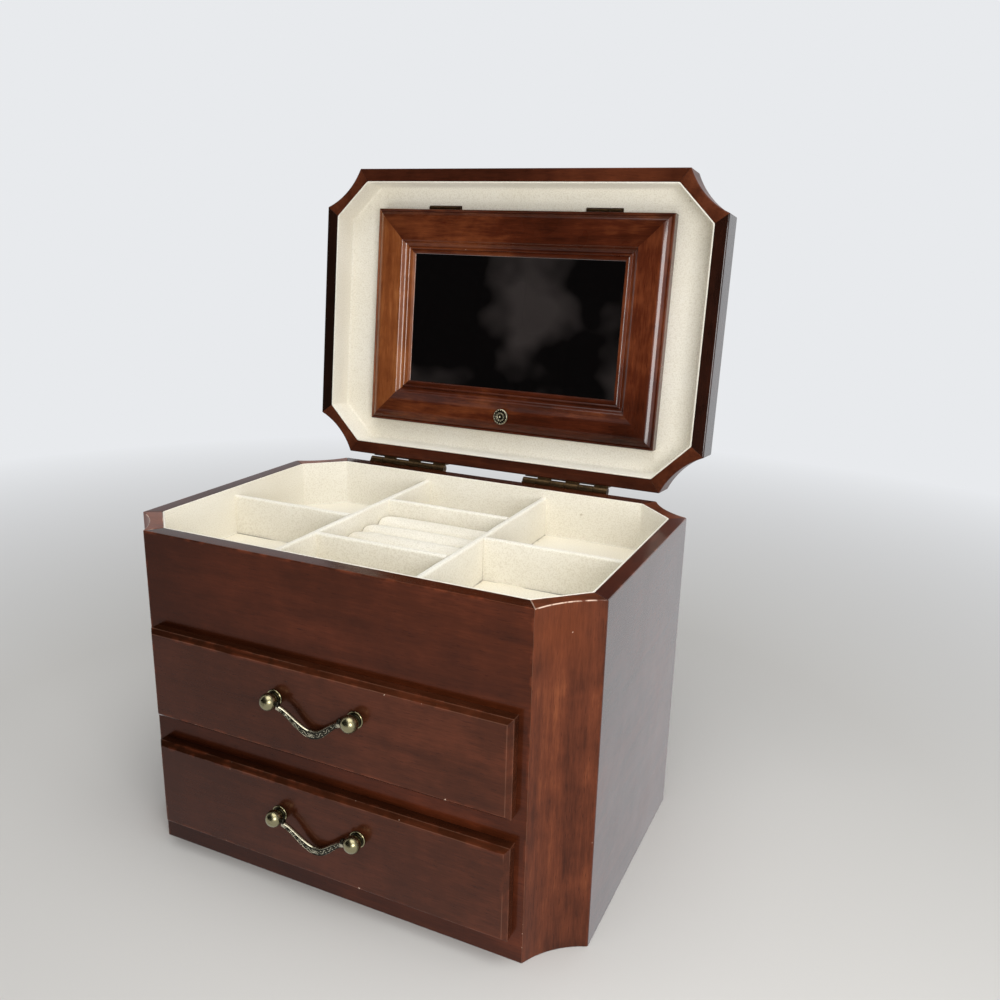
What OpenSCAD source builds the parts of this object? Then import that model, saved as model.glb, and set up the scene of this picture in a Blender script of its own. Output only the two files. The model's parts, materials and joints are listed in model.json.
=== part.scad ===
// Vanity box: a wooden case with two drawers and a divided felt tray, under a hinged lid
// that holds a framed mirror door. It is drawn with the lid open. Millimetres, X to the
// right, Y to the back, Z up, with the origin at the middle of the underside of the case.

/* [Case] */
// Width of the case
case_w = 280; // [250:1:330]
// Depth of the case, front to back
case_d = 195; // [180:1:230]
// Height of the case, from its underside to its rim
case_h = 190; // [184:1:230]
// Thickness of the case walls
wall_t = 9; // [7:0.5:11]
// Length that each cut corner takes off the front and the side
corner_cut = 25.5; // [20:0.5:30]
// Depth of the hollow in each cut corner
corner_hollow = 3.5; // [1:0.5:6]
// Length that each corner post takes off the inside corner
inner_cut = 22.5; // [16:0.5:28]
// Thickness of the bottom board
bottom_t = 5; // [3:0.5:8]
// Thickness of the shelf under the upper drawer
shelf_t = 4; // [3:0.5:6]
// Width of the wooden strips that guide the drawers
guide_w = 6; // [4:0.5:8]
// Height of those strips above the drawer's sliding face
guide_h = 12; // [6:1:20]

/* [Tray] */
// Depth of the tray, from the rim to the felt of its floor
tray_depth = 30; // [24:1:36]
// Thickness of the board under the tray
tray_board_t = 4; // [3:0.5:6]
// Thickness of the felt
felt_t = 1; // [0.6:0.1:1.4]
// Thickness of a felt-covered divider
divider_t = 4; // [3:0.5:6]
// Distance from the rim down to the top of the dividers
divider_drop = 5; // [3:0.5:8]
// Distance of each long divider from the middle
long_divider_x = 43; // [36:0.5:52]
// Place of the divider across the left and right columns
side_cross_y = -4; // [-30:0.5:30]
// Place of the divider in front of the ring rolls
front_cross_y = -41.5; // [-50:0.5:-34]
// Place of the divider behind the ring rolls
rear_cross_y = 36; // [28:0.5:46]
// Number of ring rolls
roll_count = 4; // [3:1:5]
// Gap round each ring roll
roll_gap = 0.4; // [0.3:0.1:0.8]
// Rounding at the ends of a ring roll
roll_round = 3; // [1:0.5:5]

/* [Drawers] */
// Flat of the case beside each drawer front
front_margin = 5.8; // [2:0.2:12]
// Height of a drawer front
front_h = 53; // [44:0.5:58]
// Height of the lower drawer front above the floor
lower_front_z = 15.3; // [8:0.1:18]
// Gap between the two drawer fronts
front_gap = 15.5; // [6:0.5:18]
// Thickness of a drawer front
front_t = 7.8; // [6:0.1:10]
// Width of the bevel round a drawer front
bevel_w = 2.4; // [1:0.1:6]
// Depth of that bevel
bevel_d = 2.4; // [1:0.1:5]
// How far a drawer front laps over the case round its opening
front_lap = 5; // [3:0.5:8]
// Clearance of a closed drawer front from the case
front_clear = 0.2; // [0.1:0.1:0.5]
// Thickness of the drawer sides and ends
side_t = 6; // [4:0.5:8]
// Clearance at each side of a drawer
side_clear = 0.8; // [0.4:0.1:1.5]
// Clearance over a drawer
top_clear = 1.5; // [0.6:0.1:4]
// Clearance under a drawer
slide_clear = 0.2; // [0.1:0.1:0.5]
// Thickness of a drawer bottom
drawer_bottom_t = 3; // [2:0.5:4]
// Height of a drawer bottom above the lower edge of the sides
drawer_bottom_up = 2; // [1:0.5:4]
// Space behind a closed drawer
drawer_back_gap = 11; // [4:1:40]
// How far the felt of a drawer stays below the top of its sides
lining_drop = 2; // [1:0.5:8]

/* [Pulls] */
// Distance between the two posts of a pull
pull_span = 49; // [40:0.5:76]
// Height of the posts above the middle of the drawer front
pull_rise = 6; // [0:0.5:8]
// Diameter of the ball on a post
ball_d = 9.2; // [7:0.1:10]
// Distance of the ball's centre from the drawer front
ball_out = 5.2; // [5.2:0.1:8]
// Diameter of the collar behind the ball
collar_d = 9.2; // [8:0.1:12]
// Thickness of that collar
collar_t = 0.9; // [0.8:0.1:2]
// Diameter of the neck between the collar and the ball
neck_d = 6; // [5:0.1:7]
// Drop of the bail, from the ball's centre to the middle of the band
bail_drop = 13.5; // [10:0.5:16]
// Drop of the band where it meets the balls
bail_start = 1.4; // [1:0.1:2]
// Height of the band in the middle of the bail
band_h = 5.2; // [3:0.1:6]
// Height of the band where it meets the balls
band_end_h = 2.6; // [2.2:0.1:3]
// Thickness of the band
band_t = 2.4; // [1.6:0.1:3]
// Width of the raised edge along the band
band_edge = 0.9; // [0.5:0.1:1.2]
// Height of that raised edge
band_raise = 0.35; // [0.2:0.05:0.6]
// Angle at which the bail leans towards the drawer
bail_lean = 10; // [0:1:12]
// Gap between the band and the balls
band_gap = 0.5; // [0.3:0.1:1.5]
// Diameter of the round ends of the bail
bail_end_d = 3; // [2.6:0.1:3.6]
// Diameter of the pins of the bail
bail_pin_d = 2; // [1.6:0.1:2.4]
// Depth of the pins in the balls
bail_pin_in = 3.6; // [2:0.1:4]
// Diameter of the screws that hold the posts
post_screw_d = 3.4; // [3:0.1:4]
// Diameter of the heads of those screws
post_head_d = 7; // [6:0.1:9]
// Height of those heads
post_head_h = 2.2; // [1.5:0.1:3]

/* [Lid] */
// Height of the lid
lid_h = 26; // [24:0.5:34]
// Width of the lid rails
lid_rail_w = 8.2; // [7:0.1:11]
// Depth of the recess in the lid, down to the wood
lid_recess = 20; // [18:0.5:22]
// Length that each lid corner takes off the inside corner
lid_inner_cut = 23.3; // [18:0.1:28]
// Radius of the rounded top edge of the lid
lid_edge_r = 5; // [2:0.5:6]
// Rounding of the outer edge of the lid's rim
lid_rim_r = 1; // [0.4:0.1:2]
// Gap between the closed lid and the case
rim_gap = 0.4; // [0.2:0.1:1]
// Angle at which the lid stops
open_angle = 95.75; // [90:0.25:110]

/* [Lid hinges] */
// Place of the left lid hinge
left_hinge_x = -66; // [-80:1:-40]
// Place of the right lid hinge
right_hinge_x = 52; // [38:1:80]
// Length of a lid hinge
hinge_len = 59; // [40:1:70]
// Number of knuckles in a lid hinge
knuckle_count = 6; // [4:1:8]
// Gap between two knuckles
knuckle_gap = 0.3; // [0.2:0.1:0.5]
// Thickness of a hinge leaf
leaf_t = 1; // [0.8:0.1:1.4]
// Height of a hinge leaf from the middle of the pin
leaf_h = 11.5; // [10:0.5:14]
// Diameter of the hinge barrel
barrel_d = 4.8; // [4.2:0.1:6]
// Gap between the barrel and the plane of the leaves
barrel_clear = 0.1; // [0.1:0.05:0.4]
// Diameter of the hinge pin
hinge_pin_d = 2.2; // [1.8:0.1:2.6]
// Height of the hinge pin above the rim of the case
hinge_rise = 0.6; // [0.2:0.1:1.2]
// Reach of the heels that stop the lid, from the middle of the pin
heel_len = 6.5; // [5:0.5:9]
// Number of screws in a hinge leaf
leaf_screws = 3; // [2:1:4]
// Diameter of the heads of the hinge screws
leaf_screw_d = 3.6; // [3:0.1:4.2]

/* [Mirror door] */
// Width of the mirror door
door_w = 210; // [180:1:226]
// Height of the mirror door
door_h = 146; // [120:1:154]
// Thickness of the mirror door
door_t = 9.6; // [9:0.1:11]
// Width of the frame round the mirror
frame_w = 29.4; // [26:0.1:36]
// Width of the rebate that holds the mirror
rebate_w = 4; // [2:0.5:4]
// Thickness of the mirror glass
glass_t = 3; // [2:0.1:3]
// Clearance round the glass in its rebate
glass_clear = 0.3; // [0.2:0.1:0.6]
// Thickness of the backing board behind the glass
backing_t = 1.6; // [1:0.1:1.6]
// Clearance behind the closed door
door_clear = 0.4; // [0.3:0.1:0.8]
// Diameter of the knob
knob_d = 10.5; // [8:0.1:13]
// Height of the knob above the frame
knob_h = 5.6; // [4:0.1:6.5]
// Distance of the knob from the lower edge of the door
knob_up = 11.5; // [8:0.5:15]
// Diameter of the screw that holds the knob
knob_screw_d = 2.6; // [2:0.1:3]
// Diameter of the catch magnet
magnet_d = 6; // [4:0.5:8]
// Distance of the catch magnet from the knob
magnet_aside = 18; // [12:1:40]

/* [Door hinges] */
// Distance of each door hinge from the middle
door_hinge_x = 57; // [40:1:80]
// Length of a door hinge
door_hinge_len = 24; // [18:1:30]
// Thickness of the leaves of a door hinge
door_leaf_t = 0.6; // [0.4:0.1:0.7]
// Width of the leaves of a door hinge
door_leaf_w = 8; // [6:0.5:10]
// Diameter of the barrel of a door hinge
door_barrel_d = 2.5; // [2.3:0.1:2.8]
// Gap between the barrel and the edge of the door
door_barrel_gap = 0.3; // [0.3:0.1:0.8]
// Diameter of the pin of a door hinge
door_pin_d = 1.1; // [0.9:0.1:1.3]

/* [Fits] */
// Clearance round a hinge pin, on the radius
pin_clear = 0.05; // [0.03:0.01:0.08]
// Clearance round a screw in wood, on the radius
screw_clear = 0.4; // [0.2:0.1:0.6]

/* [Hidden] */

$fn = 48;
wood = [0.27, 0.10, 0.06];
post_wood = [0.36, 0.13, 0.07];
inner_wood = [0.62, 0.46, 0.30];
felt = [0.90, 0.86, 0.74];
brass = [0.50, 0.43, 0.28];
steel = [0.62, 0.62, 0.63];
silvered = [0.78, 0.80, 0.82];

half_w = case_w / 2;
half_d = case_d / 2;
in_x = half_w - wall_t;
in_y = half_d - wall_t;
hollow_chord = corner_cut * sqrt(2);
hollow_r = (hollow_chord * hollow_chord / 4 + corner_hollow * corner_hollow) / (2 * corner_hollow);
hollow_out = (hollow_r - corner_hollow) / sqrt(2) - corner_cut / 2;

// Levels in the case
tray_floor_z = case_h - tray_depth;
tray_board_top = tray_floor_z - felt_t;
divider_top = case_h - divider_drop;
upper_front_z = lower_front_z + front_h + front_gap;
open_h = front_h - 2 * front_lap;
lower_open_z = lower_front_z + front_lap;
upper_open_z = upper_front_z + front_lap;

// Widths and lengths of the drawers
front_w = case_w - 2 * corner_cut - 2 * front_margin;
open_half = front_w / 2 - front_lap;
box_half = open_half - side_clear;
box_h = open_h - top_clear - slide_clear;
box_front_y = -half_d - front_clear;
box_back_y = in_y - drawer_back_gap;
face_y = box_front_y - front_t;
strip_half_len = in_y - guide_w;
runner_w = side_t + 4;
lining_floor = drawer_bottom_up + drawer_bottom_t;

// Pulls
ball_y = face_y - ball_out;
bail_half = pull_span / 2 - ball_d / 2 - band_gap;
pin_end = pull_span / 2 - ball_d / 2 + bail_pin_in;
screw_in = 2.4;

// Lid
lid_in_x = half_w - lid_rail_w;
lid_in_y = half_d - lid_rail_w;
lid_rim_z = case_h + rim_gap;
axis_y = half_d + leaf_t + barrel_clear + barrel_d / 2;
axis_z = case_h + hinge_rise;
heel_t = 1.2;
heel_clear = 0.05;
heel = min(heel_len, leaf_h - leaf_screw_d - 1.3);
screw_row = leaf_h - leaf_screw_d / 2 - 1;
leaf_end_gap = 0.6;
leaf_margin = 7;

// Mirror door, in the frame of the open lid: X right, Y up, Z out of the recess
door_back = door_clear + felt_t - lid_recess;
door_axis_y = door_h / 2 + door_barrel_gap + door_barrel_d / 2;
door_axis_z = -lid_recess + door_barrel_d / 2;
door_leaf_z = door_back;
knob_y = knob_up - door_h / 2;
glass_back = door_back + backing_t;
knob_foot = 0.55 * knob_d;
knob_seat = door_back + door_t - 0.7;
plate_t = 0.8;
magnet_t = 3;

// Points of an arc, from angle a to angle b
function arc(c, r, a, b, n = 6) =
    [for (i = [0 : n]) c + r * [cos(a + (b - a) * i / n), sin(a + (b - a) * i / n)]];

// Octagon with its corners cut by a length
module octagon(hx, hy, cut) {
    polygon([
        [hx, cut - hy], [hx, hy - cut], [hx - cut, hy], [cut - hx, hy],
        [-hx, hy - cut], [-hx, cut - hy], [cut - hx, -hy], [hx - cut, -hy]
    ]);
}

// The same octagon, moved in by t on every side
module inset_octagon(hx, hy, cut, t) {
    octagon(hx - t, hy - t, cut - t * (2 - sqrt(2)));
}

module in_four_corners() {
    for (sx = [-1, 1], sy = [-1, 1])
        scale([sx, sy, 1]) children();
}

// Plan of one corner post: hollow outside, straight inside, mitred to both boards
module corner_plan(ix, iy, cut) {
    difference() {
        polygon([
            [half_w - corner_cut, half_d], [half_w, half_d], [half_w, half_d - corner_cut],
            [ix, iy - cut], [ix - cut, iy]
        ]);
        translate([half_w + hollow_out, half_d + hollow_out])
            circle(r = hollow_r, $fn = 180);
    }
}

// Plan of the board at the back, from post to post
module long_plan(ix, iy, cut) {
    polygon([
        [corner_cut - half_w, half_d], [half_w - corner_cut, half_d],
        [ix - cut, iy], [cut - ix, iy]
    ]);
}

// Plan of the board at the right side, from post to post
module short_plan(ix, iy, cut) {
    polygon([
        [half_w, corner_cut - half_d], [half_w, half_d - corner_cut],
        [ix, iy - cut], [ix, cut - iy]
    ]);
}

module drawer_opening(z) {
    translate([-open_half, -half_d - 1, z])
        cube([2 * open_half, wall_t + 2, open_h]);
}

module case_front() {
    color(wood) difference() {
        linear_extrude(case_h)
            mirror([0, 1]) long_plan(in_x, in_y, inner_cut);
        drawer_opening(lower_open_z);
        drawer_opening(upper_open_z);
    }
}

module case_back() {
    color(wood) linear_extrude(case_h)
        long_plan(in_x, in_y, inner_cut);
}

module case_left_side() {
    color(wood) linear_extrude(case_h)
        mirror([1, 0]) short_plan(in_x, in_y, inner_cut);
}

module case_right_side() {
    color(wood) linear_extrude(case_h)
        short_plan(in_x, in_y, inner_cut);
}

module case_corner_posts() {
    color(post_wood) in_four_corners()
        linear_extrude(case_h) corner_plan(in_x, in_y, inner_cut);
}

module case_bottom() {
    color(inner_wood) linear_extrude(bottom_t)
        octagon(in_x, in_y, inner_cut);
}

module drawer_shelf() {
    color(inner_wood) translate([0, 0, upper_open_z - shelf_t])
        linear_extrude(shelf_t) octagon(in_x, in_y, inner_cut);
}

// Strips under and beside the lower drawer, and beside the upper one
module drawer_runners() {
    color(inner_wood) for (s = [-1, 1]) scale([s, 1, 1]) {
        translate([open_half - runner_w, -strip_half_len, bottom_t])
            cube([runner_w + guide_w, 2 * strip_half_len, lower_open_z - bottom_t]);
        translate([open_half, -strip_half_len, bottom_t])
            cube([guide_w, 2 * strip_half_len, lower_open_z + guide_h - bottom_t]);
        translate([open_half, -strip_half_len, upper_open_z])
            cube([guide_w, 2 * strip_half_len, guide_h]);
    }
}

module tray_board() {
    color(inner_wood) translate([0, 0, tray_board_top - tray_board_t])
        linear_extrude(tray_board_t) octagon(in_x, in_y, inner_cut);
}

module tray_liner() {
    color(felt) translate([0, 0, tray_board_top])
        linear_extrude(tray_depth + felt_t) difference() {
            octagon(in_x, in_y, inner_cut);
            inset_octagon(in_x, in_y, inner_cut, felt_t);
        }
}

module tray_floor_felt() {
    color(felt) translate([0, 0, tray_board_top])
        linear_extrude(felt_t) inset_octagon(in_x, in_y, inner_cut, felt_t);
}

// A divider between two points of the tray's plan
module divider(x0, x1, y0, y1) {
    color(felt) translate([x0, y0, tray_floor_z])
        cube([x1 - x0, y1 - y0, divider_top - tray_floor_z]);
}

module long_divider(x) {
    divider(x - divider_t / 2, x + divider_t / 2, felt_t - in_y, in_y - felt_t);
}

module cross_divider(x0, x1, y) {
    divider(x0, x1, y - divider_t / 2, y + divider_t / 2);
}

module left_divider() {
    long_divider(-long_divider_x);
}

module right_divider() {
    long_divider(long_divider_x);
}

module left_cross_divider() {
    cross_divider(felt_t - in_x, -long_divider_x - divider_t / 2, side_cross_y);
}

module right_cross_divider() {
    cross_divider(long_divider_x + divider_t / 2, in_x - felt_t, side_cross_y);
}

module front_cross_divider() {
    cross_divider(divider_t / 2 - long_divider_x, long_divider_x - divider_t / 2, front_cross_y);
}

module rear_cross_divider() {
    cross_divider(divider_t / 2 - long_divider_x, long_divider_x - divider_t / 2, rear_cross_y);
}

// Padded rolls that grip rings between them: full in the middle, drawn in at the ends
roll_pitch = (rear_cross_y - front_cross_y - divider_t) / roll_count;
roll_r = (roll_pitch - roll_gap) / 2;
roll_half_len = long_divider_x - divider_t / 2 - roll_gap;
roll_crown = 0.5;
module ring_roll() {
    body_half = roll_half_len - roll_round;
    steps = 6;
    crown = [for (i = [-steps : steps])
        [roll_r - roll_crown * pow(i / steps, 2), body_half * i / steps]];
    end_c = [roll_r - roll_crown - roll_round, body_half];
    rotate([0, 90, 0]) rotate_extrude($fn = 64)
        polygon(concat(
            [[0, -roll_half_len]],
            arc([end_c[0], -end_c[1]], roll_round, -90, 0, 4), crown,
            arc(end_c, roll_round, 0, 90, 4), [[0, roll_half_len]]
        ));
}

module ring_rolls() {
    color(felt) for (i = [0 : roll_count - 1])
        translate([
            0, front_cross_y + divider_t / 2 + roll_pitch * (i + 0.5),
            tray_floor_z + roll_gap + roll_r
        ]) ring_roll();
}

// A drawer front with a bevel all round its face
module drawer_front(z, open_z) {
    hx = front_w / 2;
    module slab(y0, y1, in) {
        translate([in - hx, y0, z + in])
            cube([2 * (hx - in), y1 - y0, front_h - 2 * in]);
    }
    bevel_a = atan(bevel_d / bevel_w);
    far = 2 * front_w;
    color(wood) difference() {
        slab(face_y, box_front_y, 0);
        for (s = [-1, 1]) {
            translate([s * (hx - bevel_w), face_y, z]) rotate([0, 0, s * bevel_a])
                translate([s < 0 ? -far : 0, -far, -far]) cube([far, far, 2 * far]);
            translate([0, face_y, z + front_h / 2 + s * (front_h / 2 - bevel_w)])
                rotate([-s * bevel_a, 0, 0])
                translate([-far, -far, s < 0 ? -far : 0]) cube([2 * far, far, far]);
        }
        post_holes(z);
    }
}

// Where the two posts of a pull stand on a drawer front
module at_posts(z) {
    for (s = [-1, 1])
        translate([s * pull_span / 2, face_y, z + front_h / 2 + pull_rise])
            rotate([90, 0, 0]) children();
}

module post_holes(z) {
    at_posts(z) translate([0, 0, -front_t - side_t - 1])
        cylinder(r = post_screw_d / 2 + screw_clear, h = front_t + side_t + 2);
}

module drawer_sides(open_z) {
    color(inner_wood) for (s = [-1, 1]) scale([s, 1, 1])
        translate([box_half - side_t, box_front_y, open_z + slide_clear])
            cube([side_t, box_back_y - box_front_y, box_h]);
}

module drawer_ends(z, open_z) {
    color(inner_wood) difference() {
        for (y = [box_front_y, box_back_y - side_t])
            translate([side_t - box_half, y, open_z + slide_clear])
                cube([2 * (box_half - side_t), side_t, box_h]);
        post_holes(z);
    }
}

module drawer_bottom(open_z) {
    color(inner_wood)
        translate([side_t - box_half, box_front_y + side_t, open_z + slide_clear + drawer_bottom_up])
            cube([
                2 * (box_half - side_t), box_back_y - box_front_y - 2 * side_t, drawer_bottom_t
            ]);
}

// Felt on the floor and the walls of a drawer, cut out round the screw heads
module drawer_lining(z, open_z) {
    hx = box_half - side_t;
    y0 = box_front_y + side_t;
    y1 = box_back_y - side_t;
    h = box_h - lining_floor - lining_drop;
    color(felt) difference() {
        translate([-hx, y0, open_z + slide_clear + lining_floor])
            cube([2 * hx, y1 - y0, h]);
        translate([felt_t - hx, y0 + felt_t, open_z + slide_clear + lining_floor + felt_t])
            cube([2 * (hx - felt_t), y1 - y0 - 2 * felt_t, h]);
        at_posts(z) translate([0, 0, -front_t - side_t - felt_t - 1])
            cylinder(d = post_head_d + 1, h = felt_t + 2);
    }
}

// A turned post: collar, neck and ball, with a blind hole for the bail
module pull_posts(z) {
    color(brass) for (s = [-1, 1])
        translate([s * pull_span / 2, face_y, z + front_h / 2 + pull_rise])
            rotate([90, 0, 0]) difference() {
                union() {
                    rotate_extrude() polygon(concat(
                        [[0, 0]], arc([collar_d / 2 - collar_t / 2, collar_t / 2], collar_t / 2, -90, 90),
                        [[neck_d / 2, collar_t], [neck_d / 2, ball_out], [0, ball_out]]
                    ));
                    translate([0, 0, ball_out]) sphere(d = ball_d);
                }
                translate([0, 0, -1])
                    cylinder(d = post_screw_d, h = screw_in + 1);
                translate([0, 0, ball_out]) rotate([0, -s * 90, 0])
                    translate([0, 0, ball_d / 2 - bail_pin_in - 0.2])
                    cylinder(d = bail_pin_d + 2 * pin_clear, h = ball_d);
            }
}

module pull_screws(z) {
    color(steel) at_posts(z) translate([0, 0, -front_t - side_t]) {
        cylinder(d = post_screw_d, h = front_t + side_t + screw_in);
        translate([0, 0, -post_head_h])
            rotate_extrude() polygon(concat(
                [[0, 0]], arc([post_head_d / 2 - 1.2, 1.2], 1.2, -90, 0),
                [[post_head_d / 2, post_head_h], [0, post_head_h]]
            ));
    }
}

// Middle line of the bail: it leaves each ball nearly level and swings down to the middle
bail_turn = 1.11 * bail_half;
bail_fall = bail_drop - bail_start;
function bail_z(x) = -bail_start - bail_fall * (1 + cos(180 * x / bail_turn)) / 2;
function bail_rise(x) = bail_fall * PI / 2 / bail_turn * sin(180 * x / bail_turn);
function bail_side(x) = (band_end_h + (band_h - band_end_h) * pow(1 - abs(x) / bail_half, 1.5)) / 2;
// A point of the band, off its middle line by k times its half height less an inset
function band_point(x, k, inset) =
    let (rise = bail_rise(x), n = [-rise, 1] / sqrt(1 + rise * rise))
    [x, bail_z(x)] + k * (bail_side(x) - inset) * n;
bail_steps = 24;
function band_row(k, inset, dir) =
    [for (i = [-bail_steps : bail_steps]) band_point(dir * bail_half * i / bail_steps, k, inset)];

// The band of the bail: a flat core between two raised edges
module band_layer(t, inset) {
    translate([0, t / 2, 0]) rotate([90, 0, 0])
        linear_extrude(t) polygon(concat(band_row(1, inset, 1), band_row(-1, inset, -1)));
}

module pull_bail(z) {
    color(brass) translate([0, ball_y, z + front_h / 2 + pull_rise]) rotate([bail_lean, 0, 0]) {
        difference() {
            band_layer(band_t, 0);
            for (s = [-1, 1]) translate([0, s * band_t / 2, 0])
                band_layer(2 * band_raise, band_edge);
        }
        for (s = [-1, 1]) rotate([0, s * 90, 0]) {
            translate([0, 0, bail_half - 1.6]) cylinder(d = bail_end_d, h = 1.6);
            translate([0, 0, bail_half - 1]) cylinder(d = bail_pin_d, h = pin_end - bail_half + 1);
        }
    }
}

module upper_drawer_front() { drawer_front(upper_front_z, upper_open_z); }
module upper_drawer_sides() { drawer_sides(upper_open_z); }
module upper_drawer_ends() { drawer_ends(upper_front_z, upper_open_z); }
module upper_drawer_bottom() { drawer_bottom(upper_open_z); }
module upper_drawer_lining() { drawer_lining(upper_front_z, upper_open_z); }
module upper_pull_posts() { pull_posts(upper_front_z); }
module upper_pull_screws() { pull_screws(upper_front_z); }
module upper_pull_bail() { pull_bail(upper_front_z); }
module lower_drawer_front() { drawer_front(lower_front_z, lower_open_z); }
module lower_drawer_sides() { drawer_sides(lower_open_z); }
module lower_drawer_ends() { drawer_ends(lower_front_z, lower_open_z); }
module lower_drawer_bottom() { drawer_bottom(lower_open_z); }
module lower_drawer_lining() { drawer_lining(lower_front_z, lower_open_z); }
module lower_pull_posts() { pull_posts(lower_front_z); }
module lower_pull_screws() { pull_screws(lower_front_z); }
module lower_pull_bail() { pull_bail(lower_front_z); }

// Turns what is drawn for the closed lid back to where the hinges stop it
module open_lid() {
    translate([0, axis_y, axis_z]) rotate([-open_angle, 0, 0])
        translate([0, -axis_y, -axis_z]) children();
}

// Frame of the open lid: origin in the middle of its rim, Y up, Z out of the recess
module in_lid() {
    open_lid() translate([0, 0, lid_rim_z]) rotate([180, 0, 0]) children();
}

// Section of a lid rail, from its outer edge inwards and from the rim back to the top
module rail_section(w) {
    polygon(concat(
        [[w, 0]], arc([lid_rim_r, -lid_rim_r], lid_rim_r, 90, 180, 4),
        arc([lid_edge_r, lid_edge_r - lid_h], lid_edge_r, 180, 270, 8), [[w, -lid_h]]
    ));
}

// A long rail at the top of the open lid, cut to its mitred plan
module long_rail() {
    intersection() {
        translate([-half_w, half_d, 0]) rotate([90, 0, 90])
            linear_extrude(case_w) mirror([1, 0]) rail_section(lid_rail_w);
        translate([0, 0, -lid_h - 1]) linear_extrude(lid_h + 2)
            long_plan(lid_in_x, lid_in_y, lid_inner_cut);
    }
}

// A short rail at the right of the lid
module short_rail() {
    intersection() {
        translate([half_w, half_d, 0]) rotate([90, 0, 0])
            linear_extrude(case_d) mirror([1, 0]) rail_section(lid_rail_w);
        translate([0, 0, -lid_h - 1]) linear_extrude(lid_h + 2)
            short_plan(lid_in_x, lid_in_y, lid_inner_cut);
    }
}

// A hollow corner of the lid: the rail's section swept round the middle of the hollow
module lid_corner() {
    depth = hollow_out * sqrt(2) + half_w;
    intersection() {
        translate([half_w + hollow_out, half_d + hollow_out, 0])
            rotate_extrude($fn = 180) translate([hollow_r, 0]) rail_section(depth);
        translate([0, 0, -lid_h - 1]) linear_extrude(lid_h + 2)
            polygon([
                [half_w - corner_cut, half_d], [half_w, half_d], [half_w, half_d - corner_cut],
                [lid_in_x, lid_in_y - lid_inner_cut], [lid_in_x - lid_inner_cut, lid_in_y]
            ]);
    }
}

module lid_front_rail() {
    color(wood) in_lid() long_rail();
}

module lid_rear_rail() {
    color(wood) in_lid() mirror([0, 1, 0]) long_rail();
}

module lid_left_rail() {
    color(wood) in_lid() mirror([1, 0, 0]) short_rail();
}

module lid_right_rail() {
    color(wood) in_lid() short_rail();
}

module lid_corner_posts() {
    color(post_wood) in_lid() in_four_corners() lid_corner();
}

// The board that closes the top of the lid, let in between the rails
module lid_panel() {
    color(wood) in_lid() difference() {
        translate([0, 0, -lid_h]) linear_extrude(lid_h - lid_recess)
            octagon(lid_in_x, lid_in_y, lid_inner_cut);
        at_magnets() translate([0, 0, -lid_recess - magnet_t + felt_t])
            cylinder(d = magnet_d, h = magnet_t);
    }
}

module lid_liner() {
    color(felt) in_lid() translate([0, 0, -lid_recess])
        linear_extrude(lid_recess) difference() {
            octagon(lid_in_x, lid_in_y, lid_inner_cut);
            inset_octagon(lid_in_x, lid_in_y, lid_inner_cut, felt_t);
        }
}

module at_door_hinges() {
    for (s = [-1, 1])
        translate([s * door_hinge_x, 0, 0]) children();
}

// Two catch magnets, one on each side of the knob
module at_magnets() {
    for (s = [-1, 1])
        translate([s * magnet_aside, knob_y, 0]) children();
}

module lid_floor_felt() {
    cut_len = door_hinge_len + 1;
    color(felt) in_lid() translate([0, 0, -lid_recess])
        linear_extrude(felt_t) difference() {
            inset_octagon(lid_in_x, lid_in_y, lid_inner_cut, felt_t);
            at_door_hinges() translate([-cut_len / 2, door_h / 2 - door_leaf_w - 0.5])
                square([cut_len, door_leaf_w + door_axis_y - door_h / 2 + door_barrel_d / 2 + 1]);
            at_magnets() circle(d = magnet_d);
        }
}

module catch_magnets() {
    color(steel) in_lid() at_magnets()
        translate([0, 0, -lid_recess - magnet_t + felt_t]) cylinder(d = magnet_d, h = magnet_t);
}

// Knuckles k, k + 2, ... of a barrel along X, with their middle on the axis
module knuckles(len, count, first, gap) {
    step = len / count;
    for (k = [first : 2 : count - 1])
        translate([step * k - len / 2 + gap / 2, 0, 0])
            intersection() {
                translate([0, -50, -50]) cube([step - gap, 100, 100]);
                children();
            }
}

module along_x(d, len, x = 0) {
    translate([x, 0, 0]) rotate([0, 90, 0]) cylinder(d = d, h = len);
}

// Heads of a leaf's screws, in a row along it
module at_leaf_screws() {
    pitch = (hinge_len - 2 * leaf_margin) / (leaf_screws - 1);
    for (i = [0 : leaf_screws - 1])
        translate([leaf_margin - hinge_len / 2 + pitch * i, 0, 0]) children();
}

// One leaf of a lid hinge, hanging down from the pin at the origin, with its back at y = 0
module hinge_leaf(first) {
    back = half_d - axis_y;
    knuckle_r = barrel_d / 2;
    leaf_top = -knuckle_r - leaf_end_gap / 2;
    difference() {
        union() {
            translate([-hinge_len / 2, back, -leaf_h])
                cube([hinge_len, leaf_t, leaf_h + leaf_top]);
            knuckles(hinge_len, knuckle_count, first, knuckle_gap) union() {
                along_x(barrel_d, hinge_len);
                translate([0, back, leaf_top - 0.5]) cube([hinge_len, leaf_t, -leaf_top + 0.5]);
                translate([0, back, -leaf_t]) cube([hinge_len, -back, leaf_t]);
            }
        }
        along_x(hinge_pin_d + 2 * pin_clear, hinge_len + 2, -hinge_len / 2 - 1);
        at_leaf_screws() translate([0, back - 1, -screw_row])
            rotate([-90, 0, 0]) cylinder(d = leaf_screw_d - 1, h = leaf_t + 2);
    }
}

module at_lid_hinges() {
    for (x = [left_hinge_x, right_hinge_x])
        translate([x, axis_y, axis_z]) children();
}

module lid_hinge_case_leaves() {
    color(brass) at_lid_hinges() hinge_leaf(0);
}

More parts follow.
